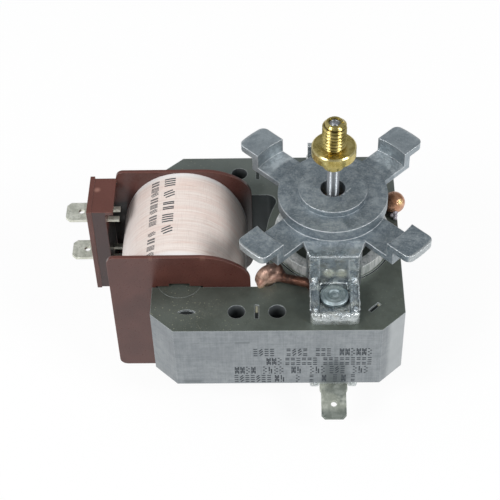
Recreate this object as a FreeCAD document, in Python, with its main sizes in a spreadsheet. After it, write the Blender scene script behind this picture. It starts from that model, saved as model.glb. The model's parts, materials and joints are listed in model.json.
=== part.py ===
import FreeCAD, Part
import math
import os
import types

import Sketcher

# Oven fan motor: a shaded-pole motor with a U-shaped lamination stack, a coil on a closing core,
# a rotor on a vertical shaft between two die-cast brackets, and a threaded bush for the fan.
#
# Frame: origin on the shaft axis at the bush's collar, where the fan seats, +Z up along the shaft,
# +X towards the rotor end and -X towards the coil. Most pieces are drawn from the top face of the
# stack, which lies seat_height below the origin. Sizes are in millimetres and degrees.

DIMENSIONS = {
    # Where the stack's top face lies below the fan seat
    "seat_height": 32.2,
    # Lamination stack, measured from the shaft axis
    "stack_left": 45.0,
    "stack_right": 17.2,
    "stack_depth": 61.0,
    "stack_height": 20.4,
    "stack_corner_x": 5.8,
    "stack_corner_y": 5.5,
    "limb_gap": 32.4,
    "pole_back": 16.8,
    "pole_back_r": 33.5,
    "window_corner_r": 2.5,
    "bore_r": 15.4,
    "bolt_x": 18.95,
    "bolt_spacing": 9.9,
    "bolt_span": 48.7,
    "bolt_hole_r": 2.1,
    "interlock_length": 4.4,
    "interlock_width": 1.0,
    "interlock_depth": 0.4,
    "lens_reach": 17.1,
    "lens_width": 1.5,
    "corner_mark_x": 9.8,
    "corner_mark_y": 23.3,
    "corner_mark_length": 3.5,
    # Closing core with round noses
    "core_x": 38.2,
    "core_width": 11.2,
    "core_span": 39.4,
    "nose_fit": 0.03,
    # Coil bobbin
    "tunnel_gap": 0.3,
    "tunnel_wall": 1.0,
    "flange_gap": 0.1,
    "bobbin_span": 31.15,
    "flange_wall": 0.95,
    "flange_left": 55.5,
    "flange_right": 20.5,
    "flange_above": 10.55,
    "flange_below": 9.8,
    "flange_large_r": 16.0,
    "flange_small_r": 6.5,
    "flange_blend": 50.0,
    "flange_corner_r": 2.0,
    "key_width": 5.2,
    "key_depth": 0.9,
    # Terminal housing moulded on the back flange
    "housing_left": 62.2,
    "housing_plate": 1.2,
    "housing_wall": 3.55,
    "housing_roof": 1.0,
    "housing_front": 2.2,
    "housing_depth": 12.5,
    "housing_lip": 0.6,
    "housing_top": 8.0,
    "housing_height": 28.0,
    "tongue_drop": 2.0,
    # Winding and its tape
    "winding_half_width": 15.95,
    "winding_half_height": 19.55,
    "winding_round": 0.9,
    "winding_centre": 9.7,
    "winding_fit": 0.05,
    "tape_wall": 0.35,
    # Tabs
    "tab_width": 6.3,
    "tab_wall": 0.8,
    "tab_fit": 0.05,
    "tab_reach": 6.3,
    "tab_chamfer": 1.1,
    "tab_hole_r": 0.8,
    "tab_hole_back": 4.0,
    "fork_reach": 2.85,
    "fork_tine": 1.3,
    "fork_gap": 2.25,
    "tab_upper_z": 1.9,
    "tab_spacing": 14.1,
    # Copper shading rings
    "wire_r": 1.3,
    "ring_clearance": 0.1,
    "ring_slot_r": 17.4,
    "ring_slot_angle": 253.0,
    "front_ring_turn": 166.0,
    "front_ring_reach": 10.9,
    "back_ring_turn": 334.8,
    "back_ring_reach": 11.8,
    "blob_long_r": 3.7,
    "blob_round_r": 2.35,
    "blob_outward": 1.35,
    "blob_rise": 0.2,
    "blob_tilt": 60.0,
    "blob_ball_r": 2.85,
    # Brackets
    "hub_r": 13.6,
    "hub_core_r": 10.5,
    "hub_boss_r": 8.6,
    "hub_eye_r": 3.1,
    "raised_r": 8.5,
    "raised_height": 1.6,
    "hub_wall": 3.0,
    "arm_top": 13.4,
    "arm_wall": 1.6,
    "arm_half_width": 4.5,
    "claw_inner_r": 22.2,
    "claw_reach": 5.2,
    "claw_top": 17.5,
    "claw_wall": 1.9,
    "claw_corner_r": 1.8,
    "riser_wall": 1.6,
    "leg_half_width": 6.0,
    "leg_root_half_width": 7.4,
    "leg_root_y": 14.0,
    "leg_face_y": 17.2,
    "leg_wall": 1.7,
    "leg_knee": 11.6,
    "rib_width": 2.4,
    "rib_step": 0.6,
    "rib_round_r": 0.8,
    "foot_front": 28.75,
    "foot_height": 3.4,
    "foot_floor": 1.5,
    "foot_rim": 1.3,
    "foot_corner_r": 1.4,
    "back_lug_height": 7.5,
    "back_lug_wall": 1.5,
    "back_lug_half_width": 5.6,
    "lower_foot_front": 29.7,
    "lower_plate": 6.0,
    "lower_plate_wall": 2.6,
    "lower_depth": 12.6,
    "lower_end_wall": 1.2,
    # Rivets through both feet and the stack
    "rivet_span": 43.0,
    "rivet_r": 2.0,
    "rivet_fit": 0.05,
    "rivet_head_r": 3.6,
    "rivet_head_height": 1.6,
    "rivet_dimple_r": 1.5,
    # Earth tab under the front foot
    "earth_half_width": 3.5,
    "earth_bend_y": 29.0,
    "earth_shoulder": 2.6,
    "earth_blade": 7.15,
    "earth_droop": 19.0,
    # Bearings, held by clips in the brackets
    "bearing_r": 4.0,
    "bearing_half_height": 2.8,
    "bearing_seat_fit": 0.02,
    "upper_bearing_z": 11.0,
    "lower_bearing_z": 7.0,
    "pocket_r": 7.0,
    "pocket_ledge": 1.3,
    "pocket_mouth": 4.2,
    "clip_wall": 0.4,
    "clip_drop": 2.6,
    "shaft_r": 1.5,
    "shaft_fit": 0.02,
    # Rotor
    "air_gap": 0.35,
    "end_ring_outer_r": 14.6,
    "end_ring_inner_r": 11.9,
    "end_ring_height": 3.1,
    "bar_count": 17,
    "bar_circle_r": 13.1,
    "bar_r": 1.1,
    "bar_skew": 16.0,
    "spacer_r": 3.2,
    "washer_r": 3.9,
    "washer_wall": 0.5,
    "end_play": 0.5,
    "shaft_above_seat": 7.15,
    "shaft_end_gap": 0.3,
    "shaft_chamfer": 0.45,
    # Brass bush for the fan
    "bush_thread_r": 2.95,
    "bush_thread_height": 7.35,
    "bush_chamfer": 1.3,
    "collar_r": 5.4,
    "collar_height": 3.0,
    "collar_chamfer": 0.35,
    "bush_boss_r": 2.6,
    "bush_boss_height": 3.4,
}

# How far a cutting outline runs past the face that it opens
OVERRUN = 2.0

# Marks an outline's node from which half a circle leads to the next node
HALF_TURN = "half turn"

doc = FreeCAD.newDocument("OvenFanMotor")


class Size:
    """A number with the formula that gives it from the sheet."""

    def __init__(self, value, text):
        self.value = value
        self.text = text

    def __add__(self, other):
        other = as_size(other)
        return Size(self.value + other.value, f"({self.text} + {other.text})")

    def __sub__(self, other):
        other = as_size(other)
        return Size(self.value - other.value, f"({self.text} - {other.text})")

    def __mul__(self, other):
        other = as_size(other)
        return Size(self.value * other.value, f"({self.text} * {other.text})")

    def __truediv__(self, other):
        other = as_size(other)
        return Size(self.value / other.value, f"({self.text} / {other.text})")

    def __neg__(self):
        return Size(-self.value, f"(-1 * {self.text})")

    __radd__ = __add__
    __rmul__ = __mul__


def as_size(number):
    if isinstance(number, Size):
        return number
    return Size(float(number), f"({float(number)})")


def root(number):
    return Size(math.sqrt(number.value), f"sqrt({number.text})")


def cosine(angle):
    return Size(math.cos(math.radians(angle.value)), f"cos({angle.text})")


def sine(angle):
    return Size(math.sin(math.radians(angle.value)), f"sin({angle.text})")


def make_sheet():
    """Writes the driving dimensions and returns them as sizes by name."""
    sheet = doc.addObject("Spreadsheet::Sheet", "Dims")
    sizes = {}
    for row, (name, value) in enumerate(DIMENSIONS.items(), start=1):
        sheet.set(f"A{row}", name)
        sheet.set(f"B{row}", str(value))
        sheet.setAlias(f"B{row}", name)
        sizes[name] = Size(float(value), f"Dims.{name}")
    doc.recompute()
    return types.SimpleNamespace(**sizes)


d = make_sheet()
HALF_DEPTH = d.stack_depth / 2
LIMB_INNER = d.limb_gap / 2
STACK_FLOOR = -d.stack_height
RIVET_Y = d.rivet_span / 2
FRONT_FLANGE = LIMB_INNER - d.flange_gap
BACK_FLANGE = d.bobbin_span - FRONT_FLANGE
WINDING_SPAN = d.bobbin_span - d.flange_wall * 2
WIRE_HOLE_R = d.wire_r + d.ring_clearance
RIB_INNER = d.leg_half_width - d.rib_width
HUB_TOP = d.arm_top + d.hub_wall
HOUSING_INNER = d.housing_left - d.housing_plate - d.housing_wall
HOUSING_MIDDLE = d.housing_front + d.housing_depth / 2


def new_body(label, base=None):
    """A sub-part drawn from the stack's top face, unless another base height is given."""
    body = doc.addObject("PartDesign::Body", label)
    body.Label = label
    drop = -d.seat_height if base is None else as_size(base)
    body.setExpression("Placement.Base.z", drop.text)
    return body


def sketch_on(body, role, name, height=0.0, turn=None):
    """A sketch on an origin plane of its body, raised along the plane's normal and turned about it."""
    sketch = body.newObject("Sketcher::SketchObject", name)
    plane = [feature for feature in body.Origin.OriginFeatures if feature.Role == role][0]
    sketch.AttachmentSupport = [(plane, "")]
    sketch.MapMode = "FlatFace"
    sketch.setExpression("AttachmentOffset.Base.z", as_size(height).text)
    if turn is not None:
        sketch.setExpression("AttachmentOffset.Rotation.Angle", f"{as_size(turn).text} * 1 deg")
    return sketch


def fix_point(sketch, element, position, x, y):
    """Holds a point of a sketch element at a place that follows the sheet."""
    for kind, size in (("DistanceX", as_size(x)), ("DistanceY", as_size(y))):
        index = sketch.addConstraint(Sketcher.Constraint(kind, -1, 1, element, position, size.value))
        sketch.setExpression(f"Constraints[{index}]", size.text)


def fix_radius(sketch, element, radius):
    index = sketch.addConstraint(Sketcher.Constraint("Radius", element, radius.value))
    sketch.setExpression(f"Constraints[{index}]", radius.text)


def arc_between(start, end, radius):
    """A counter-clockwise arc of less than half a turn, or just half, between two points."""
    chord = end - start
    height = math.sqrt(max(radius ** 2 - chord.Length ** 2 / 4, 0.0))
    to_left = FreeCAD.Vector(-chord.y, chord.x, 0) / chord.Length
    centre = (start + end) / 2 + to_left * height
    first = math.atan2(start.y - centre.y, start.x - centre.x)
    last = math.atan2(end.y - centre.y, end.x - centre.x)
    if last <= first:
        last += 2 * math.pi
    return Part.ArcOfCircle(Part.Circle(centre, FreeCAD.Vector(0, 0, 1), radius), first, last)


def add_side(sketch, start, end, bend):
    """Adds one side of an outline and returns which of its ends is the first and which the last."""
    if bend is None:
        sketch.addGeometry(Part.LineSegment(start, end), False)
        return 1, 2
    if bend == HALF_TURN:
        sketch.addGeometry(arc_between(start, end, (end - start).Length / 2), False)
        return 1, 2
    radius = as_size(bend).value
    if radius > 0:
        sketch.addGeometry(arc_between(start, end, radius), False)
        return 1, 2
    sketch.addGeometry(arc_between(end, start, -radius), False)
    return 2, 1


def fix_bend(sketch, element, node, following):
    """Holds the radius of an arc, or for half a circle its centre, midway between its ends."""
    if node[2] == HALF_TURN:
        upright = abs(as_size(node[0]).value - as_size(following[0]).value) < 1e-6
        kind, axis = ("DistanceX", 0) if upright else ("DistanceY", 1)
        size = (as_size(node[axis]) + following[axis]) / 2
        index = sketch.addConstraint(Sketcher.Constraint(kind, -1, 1, element, 3, size.value))
        sketch.setExpression(f"Constraints[{index}]", size.text)
        return
    radius = as_size(node[2])
    fix_radius(sketch, element, radius if radius.value > 0 else -radius)


def outline(sketch, nodes):
    """Draws a closed outline. A node is (x, y), or (x, y, bend) where an arc leads to the next node:
    a positive radius turns counter-clockwise, a negative one clockwise, HALF_TURN is half a circle."""
    first = sketch.GeometryCount
    count = len(nodes)
    points = [FreeCAD.Vector(as_size(node[0]).value, as_size(node[1]).value, 0) for node in nodes]
    ends = [add_side(sketch, points[number], points[(number + 1) % count],
                     node[2] if len(node) > 2 else None) for number, node in enumerate(nodes)]
    for number in range(count):
        following = (number + 1) % count
        sketch.addConstraint(Sketcher.Constraint(
            "Coincident", first + number, ends[number][1], first + following, ends[following][0]))
    for number, node in enumerate(nodes):
        fix_point(sketch, first + number, ends[number][0], node[0], node[1])
        if len(node) > 2:
            fix_bend(sketch, first + number, node, nodes[(number + 1) % count])


def circle(sketch, x, y, radius):
    x, y, radius = as_size(x), as_size(y), as_size(radius)
    centre = FreeCAD.Vector(x.value, y.value, 0)
    element = sketch.addGeometry(Part.Circle(centre, FreeCAD.Vector(0, 0, 1), radius.value), False)
    fix_point(sketch, element, 3, x, y)
    fix_radius(sketch, element, radius)


def box_nodes(left, low, right, high):
    return [(left, low), (right, low), (right, high), (left, high)]


def bar_nodes(x, y, length, width, angle):
    """Corners of a bar centred on a point and turned by an angle."""
    along_x, along_y = cosine(angle) * length / 2, sine(angle) * length / 2
    side_x, side_y = sine(angle) * width / -2, cosine(angle) * width / 2
    return [(x - along_x - side_x, y - along_y - side_y), (x + along_x - side_x, y + along_y - side_y),
            (x + along_x + side_x, y + along_y + side_y), (x - along_x + side_x, y - along_y + side_y)]


def lens_nodes(x, y, length, width):
    """Two shallow arcs that meet in points to the left and right of a centre."""
    radius = (length * length + width * width) / (width * 4)
    return [(x - length / 2, y, radius), (x + length / 2, y, radius)]


def pad(body, sketch, length, middle=False):
    feature = body.newObject("PartDesign::Pad", sketch.Name + "Pad")
    feature.Profile = sketch
    feature.Midplane = middle
    feature.setExpression("Length", as_size(length).text)
    return feature


def pocket(body, sketch, length, middle=False, upwards=False):
    feature = body.newObject("PartDesign::Pocket", sketch.Name + "Pocket")
    feature.Profile = sketch
    feature.Midplane = middle
    feature.Reversed = upwards
    feature.setExpression("Length", as_size(length).text)
    return feature


def revolve(body, name, nodes):
    """A solid of revolution about the shaft, from an outline of (radius, height)."""
    sketch = sketch_on(body, "XZ_Plane", name)
    outline(sketch, nodes)
    feature = body.newObject("PartDesign::Revolution", name + "Turn")
    feature.Profile = sketch
    feature.ReferenceAxis = (sketch, ["V_Axis"])
    feature.Angle = 360
    return feature


def repeat_round(body, features, count):
    """Repeats features evenly about the shaft."""
    pattern = body.newObject("PartDesign::PolarPattern", features[0].Name + "Ring")
    pattern.Originals = features
    pattern.Axis = ([axis for axis in body.Origin.OriginFeatures if axis.Role == "Z_Axis"][0], [""])
    pattern.Angle = 360
    pattern.setExpression("Occurrences", as_size(count).text)
    body.Tip = pattern
    return pattern


def round_edges(body, radius, wanted):
    """Fillets the edges of the body's last feature for which wanted(edge) is true."""
    doc.recompute()
    base = body.Tip
    names = [f"Edge{number}" for number, edge in enumerate(base.Shape.Edges, start=1) if wanted(edge)]
    feature = body.newObject("PartDesign::Fillet", base.Name + "Round")
    feature.Base = (base, names)
    feature.setExpression("Radius", as_size(radius).text)
    return feature


def runs_along(edge, axis):
    """True for a straight edge along one of the axes x, y or z."""
    if not isinstance(edge.Curve, Part.Line):
        return False
    direction = edge.Curve.Direction
    return abs(getattr(direction, axis)) > 0.999


def middle_of(edge):
    return edge.CenterOfMass


def is_near(value, size, slack=0.05):
    return abs(value - as_size(size).value) < slack


def ring_slot_place(turned_back=False):
    """Centre of a pole slot that holds a shading ring, at the front pole or at the back one."""
    sign = -1 if turned_back else 1
    x = d.ring_slot_r * cosine(d.ring_slot_angle) * sign
    y = d.ring_slot_r * sine(d.ring_slot_angle) * sign
    return x, y


def back_ring_tip():
    """Centre of the back ring's outer leg, at the stack's right edge."""
    slot_x, slot_y = ring_slot_place(turned_back=True)
    return (slot_x + d.back_ring_reach * cosine(d.back_ring_turn),
            slot_y + d.back_ring_reach * sine(d.back_ring_turn))


def stator_stack():
    body = new_body("stator_stack")
    blank = sketch_on(body, "XY_Plane", "StackBlank", STACK_FLOOR)
    low_x, high_x = d.stack_corner_x - d.stack_left, d.stack_right - d.stack_corner_x
    side_y = HALF_DEPTH - d.stack_corner_y
    outline(blank, [(low_x, -HALF_DEPTH), (high_x, -HALF_DEPTH), (d.stack_right, -side_y),
                    (d.stack_right, side_y), (high_x, HALF_DEPTH), (low_x, HALF_DEPTH),
                    (-d.stack_left, side_y), (-d.stack_left, -side_y)])
    pad(body, blank, d.stack_height)

    window = sketch_on(body, "XY_Plane", "StackWindow")
    root_x = d.pole_back_r - d.pole_back - root(d.pole_back_r * d.pole_back_r - LIMB_INNER * LIMB_INNER)
    open_x = -d.stack_left - OVERRUN
    outline(window, [(open_x, -LIMB_INNER), (root_x, -LIMB_INNER, -d.pole_back_r),
                     (root_x, LIMB_INNER), (open_x, LIMB_INNER)])
    pocket(body, window, d.stack_height)
    round_edges(body, d.window_corner_r, lambda edge: runs_along(edge, "z")
                and is_near(middle_of(edge).x, root_x)
                and is_near(abs(middle_of(edge).y), LIMB_INNER))

    bore = sketch_on(body, "XY_Plane", "RotorBore")
    circle(bore, 0, 0, d.bore_r)
    pocket(body, bore, d.stack_height)

    for number, turn in enumerate((d.ring_slot_angle, d.ring_slot_angle + 180)):
        slot = sketch_on(body, "XY_Plane", f"RingSlot{number}", turn=turn)
        inner = d.bore_r - OVERRUN
        outline(slot, [(inner, -WIRE_HOLE_R), (d.ring_slot_r, -WIRE_HOLE_R, HALF_TURN),
                       (d.ring_slot_r, WIRE_HOLE_R), (inner, WIRE_HOLE_R)])
        pocket(body, slot, d.stack_height)

    notch = sketch_on(body, "XY_Plane", "RingNotch")
    tip_x, tip_y = back_ring_tip()
    outline(notch, [(tip_x, tip_y + WIRE_HOLE_R, HALF_TURN), (tip_x, tip_y - WIRE_HOLE_R),
                    (d.stack_right + OVERRUN, tip_y - WIRE_HOLE_R),
                    (d.stack_right + OVERRUN, tip_y + WIRE_HOLE_R)])
    pocket(body, notch, d.stack_height)

    holes = sketch_on(body, "XY_Plane", "StackHoles")
    for side in (-1, 1):
        circle(holes, 0, RIVET_Y * side, d.rivet_r + d.rivet_fit)
        circle(holes, -d.core_x, nose_centre() * side, d.core_width / 2 + d.nose_fit)
        for end in (-1, 1):
            circle(holes, d.bolt_spacing / 2 * end - d.bolt_x, d.bolt_span / 2 * side, d.bolt_hole_r)
    pocket(body, holes, d.stack_height)

    marks = sketch_on(body, "XY_Plane", "Interlocks")
    bolt_y = d.bolt_span / 2
    for side in (-1, 1):
        outline(marks, lens_nodes(-d.bolt_x - d.lens_reach, bolt_y * side, d.interlock_length, d.lens_width))
        outline(marks, bar_nodes(-d.bolt_x, bolt_y * side, d.interlock_length, d.interlock_width,
                                 as_size(90)))
        outline(marks, bar_nodes(d.corner_mark_x, d.corner_mark_y * side, d.corner_mark_length,
                                 d.interlock_width, as_size(-45 * side)))
    pocket(body, marks, d.interlock_depth)
    return body


def nose_centre():
    """Distance of a core nose's centre from the middle of the stack."""
    return d.core_span / 2 - d.core_width / 2


def coil_core():
    body = new_body("coil_core")
    sketch = sketch_on(body, "XY_Plane", "CoreOutline", STACK_FLOOR)
    half = d.core_width / 2
    nose_y = nose_centre()
    outline(sketch, [(-d.core_x - half, -nose_y, HALF_TURN), (-d.core_x + half, -nose_y),
                     (-d.core_x + half, nose_y, HALF_TURN), (-d.core_x - half, nose_y)])
    pad(body, sketch, d.stack_height)
    return body


def flange_nodes():
    """A flange that follows the winding at the rotor side, with each corner there made of two arcs."""
    left, right = -d.flange_left, -d.flange_right
    high, low = d.flange_above, STACK_FLOOR - d.flange_below
    large, small, corner = d.flange_large_r, d.flange_small_r, d.flange_corner_r
    across, up = cosine(d.flange_blend), sine(d.flange_blend)
    large_x = right - small - (large - small) * across
    meet_x = large_x + large * across
    meet_drop = large - large * up
    small_drop = large - (large - small) * up
    return [(left + corner, low), (large_x, low, large), (meet_x, low + meet_drop, small),
            (right, low + small_drop), (right, high - small_drop, small), (meet_x, high - meet_drop, large),
            (large_x, high), (left + corner, high, corner), (left, high - corner),
            (left, low + corner, corner)]


def bobbin():
    body = new_body("bobbin")
    half = d.core_width / 2 + d.tunnel_gap
    left, right = -d.core_x - half, -d.core_x + half
    high, low = d.tunnel_gap, STACK_FLOOR - d.tunnel_gap
    wall = d.tunnel_wall
    tube = sketch_on(body, "XZ_Plane", "TunnelTube", d.flange_wall / 2 - BACK_FLANGE)
    outline(tube, box_nodes(left - wall, low - wall, right + wall, high + wall))
    pad(body, tube, d.bobbin_span - d.flange_wall)
    for name, height in (("FrontFlange", FRONT_FLANGE - d.flange_wall), ("BackFlange", -BACK_FLANGE)):
        flange = sketch_on(body, "XZ_Plane", name, height)
        outline(flange, flange_nodes())
        pad(body, flange, d.flange_wall)
    add_terminal_housing(body)
    opening = sketch_on(body, "XZ_Plane", "TunnelOpening", FRONT_FLANGE)
    outline(opening, box_nodes(left, low, right, high))
    pocket(body, opening, d.bobbin_span)
    for name, height in (("FrontKey", FRONT_FLANGE), ("BackKey", d.flange_wall - BACK_FLANGE)):
        key = sketch_on(body, "XZ_Plane", name, height)
        outline(key, box_nodes(-d.core_x - d.key_width / 2, as_size(0), d.key_width / 2 - d.core_x,
                               high + d.key_depth))
        pocket(body, key, d.flange_wall)
    return body


def add_terminal_housing(body):
    """A block with a thin end plate, tied to the back flange by a roof, a floor and a tongue."""
    back = d.housing_front + d.housing_depth
    plate_x = -d.housing_left + d.housing_plate
    floor_z = d.housing_top - d.housing_height
    lip = d.housing_lip / 3
    block = sketch_on(body, "XY_Plane", "HousingBlock", floor_z)
    outline(block, box_nodes(plate_x, d.housing_front, -HOUSING_INNER, back))
    pad(body, block, d.housing_height)
    plate = sketch_on(body, "XY_Plane", "HousingPlate", floor_z - lip)
    outline(plate, box_nodes(-d.housing_left, d.housing_front - lip, plate_x, back + d.housing_lip))
    pad(body, plate, d.housing_height + lip * 2)
    for name, height in (("HousingRoof", d.housing_top - d.housing_roof), ("HousingFloor", floor_z)):
        cover = sketch_on(body, "XY_Plane", name, height)
        outline(cover, box_nodes(-HOUSING_INNER, d.housing_front, -d.flange_left, back))
        pad(body, cover, d.housing_roof)
    tongue = sketch_on(body, "XZ_Plane", "HousingTongue", -BACK_FLANGE)
    outline(tongue, box_nodes(-d.housing_left, floor_z, -d.flange_left + d.flange_corner_r,
                              d.housing_top - d.tongue_drop))
    pad(body, tongue, d.flange_wall)
    for name, height in (("UpperTabSlot", d.tab_upper_z), ("LowerTabSlot", d.tab_upper_z - d.tab_spacing)):
        slot = sketch_on(body, "YZ_Plane", name, -HOUSING_INNER)
        half_y, half_z = d.tab_width / 2 + d.tab_fit, d.tab_wall / 2 + d.tab_fit
        outline(slot, box_nodes(HOUSING_MIDDLE - half_y, height - half_z,
                                HOUSING_MIDDLE + half_y, height + half_z))
        pocket(body, slot, d.housing_left - HOUSING_INNER)


def oval_nodes(grow):
    """The winding's outline: four arcs that meet without a corner, grown outwards by a wall."""
    half_w, half_h = d.winding_half_width, d.winding_half_height
    top_r = half_w * d.winding_round
    rise = half_h - top_r
    side_r = (half_w * half_w + rise * rise - top_r * top_r) / ((half_w - top_r) * 2)
    share = (top_r + grow) / (side_r - top_r)
    meet_x = share * (side_r - half_w)
    meet_z = rise + share * rise
    middle = -d.winding_centre
    centre = -d.core_x
    top, side = top_r + grow, side_r + grow
    return [(centre + meet_x, middle + meet_z, top), (centre - meet_x, middle + meet_z, side),
            (centre - meet_x, middle - meet_z, top), (centre + meet_x, middle - meet_z, side)]


def winding():
    body = new_body("winding")
    sketch = sketch_on(body, "XZ_Plane", "WindingSection", d.flange_wall - BACK_FLANGE)
    outline(sketch, oval_nodes(as_size(0)))
    pad(body, sketch, WINDING_SPAN)
    half = d.core_width / 2 + d.tunnel_gap + d.tunnel_wall + d.winding_fit
    reach = d.tunnel_gap + d.tunnel_wall + d.winding_fit
    hole = sketch_on(body, "XZ_Plane", "WindingHole")
    outline(hole, box_nodes(-d.core_x - half, STACK_FLOOR - reach, -d.core_x + half, reach))
    pocket(body, hole, FRONT_FLANGE * 2, middle=True)
    return body


def winding_tape():
    body = new_body("winding_tape")
    sketch = sketch_on(body, "XZ_Plane", "TapeSection", d.flange_wall - BACK_FLANGE)
    outline(sketch, oval_nodes(d.tape_wall))
    outline(sketch, oval_nodes(as_size(0)))
    pad(body, sketch, WINDING_SPAN)
    return body


def supply_tab(label, middle_z):
    """A flat blade with a clipped tip outside the housing and a wire fork inside it."""
    body = new_body(label)
    sketch = sketch_on(body, "XY_Plane", "Blade", middle_z - d.tab_wall / 2)
    tip = -d.housing_left - d.tab_reach
    end = d.fork_reach - HOUSING_INNER
    low, high = HOUSING_MIDDLE - d.tab_width / 2, HOUSING_MIDDLE + d.tab_width / 2
    gap_low, gap_high = low + d.fork_tine, low + d.fork_tine + d.fork_gap
    fork_high = gap_high + d.fork_tine
    outline(sketch, [(tip + d.tab_chamfer, low), (end, low), (end, gap_low), (-HOUSING_INNER, gap_low),
                     (-HOUSING_INNER, gap_high), (end, gap_high), (end, fork_high),
                     (-HOUSING_INNER, fork_high), (-HOUSING_INNER, high), (tip + d.tab_chamfer, high),
                     (tip, high - d.tab_chamfer), (tip, low + d.tab_chamfer)])
    circle(sketch, tip + d.tab_hole_back, HOUSING_MIDDLE, d.tab_hole_r)
    pad(body, sketch, d.tab_wall)
    return body


def shading_ring(label, turned_back, turn, reach, blob):
    """A closed copper loop through a pole slot and round the pole's tip, with its ends melted together."""
    body = new_body(label)
    slot_x, slot_y = ring_slot_place(turned_back)
    body.setExpression("Placement.Base.x", slot_x.text)
    body.setExpression("Placement.Base.y", slot_y.text)
    body.setExpression("Placement.Rotation.Angle", f"{turn.text} * 1 deg")
    high = bend = WIRE_HOLE_R
    low = STACK_FLOOR - WIRE_HOLE_R
    path = sketch_on(body, "XZ_Plane", "RingPath")
    outline(path, [(bend, low), (reach - bend, low, bend), (reach, low + bend), (reach, high - bend, bend),
                   (reach - bend, high), (bend, high, bend), (as_size(0), high - bend),
                   (as_size(0), low + bend, bend)])
    section = sketch_on(body, "YZ_Plane", "RingSection", bend)
    circle(section, 0, low, d.wire_r)
    pipe = body.newObject("PartDesign::AdditivePipe", "RingPipe")
    pipe.Profile = section
    pipe.Spine = path
    blob(body, reach, high)
    return body


def long_blob(body, reach, high):
    """The front ring's melted ends: an egg that hangs down beside the pole's tip."""
    feature = body.newObject("PartDesign::AdditiveEllipsoid", "Blob")
    feature.setExpression("Radius1", d.blob_round_r.text)
    feature.setExpression("Radius2", d.blob_long_r.text)
    feature.setExpression("Radius3", d.blob_round_r.text)
    plane = [item for item in body.Origin.OriginFeatures if item.Role == "XY_Plane"][0]
    feature.AttachmentSupport = [(plane, "")]
    feature.MapMode = "FlatFace"
    lean = FreeCAD.Rotation(FreeCAD.Vector(0, 1, 0), d.blob_tilt.value)
    feature.AttachmentOffset = FreeCAD.Placement(FreeCAD.Vector(0, 0, 0), lean)
    feature.setExpression("AttachmentOffset.Base.x", (reach + d.blob_outward).text)
    feature.setExpression("AttachmentOffset.Base.z", (high + d.blob_rise).text)


def round_blob(body, reach, high):
    """The back ring's melted ends: a ball that stands out past the stack's edge."""
    feature = body.newObject("PartDesign::AdditiveSphere", "Blob")
    feature.setExpression("Radius", d.blob_ball_r.text)
    plane = [item for item in body.Origin.OriginFeatures if item.Role == "XY_Plane"][0]
    feature.AttachmentSupport = [(plane, "")]
    feature.MapMode = "FlatFace"
    feature.setExpression("AttachmentOffset.Base.x", (reach + d.wire_r).text)
    feature.setExpression("AttachmentOffset.Base.y", (d.ring_clearance - d.wire_r).text)
    feature.setExpression("AttachmentOffset.Base.z", (d.blob_ball_r + d.ring_clearance).text)


def above(height):
    return as_size(height)


def below(height):
    return STACK_FLOOR - height


def rib_corner_nodes(x, side, outward):
    """What a round takes off the top edge of a rib. side is 1 where the rib ends towards +X, else -1."""
    facing = 1 if outward is above else -1
    radius, spare = d.rib_round_r, d.rib_round_r / 2
    top = outward(d.foot_height)
    return [(x - radius * side, top, radius * -side * facing), (x, top - radius * facing),
            (x + spare * side, top - radius * facing), (x + spare * side, top + spare * facing),
            (x - radius * side, top + spare * facing)]


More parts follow.
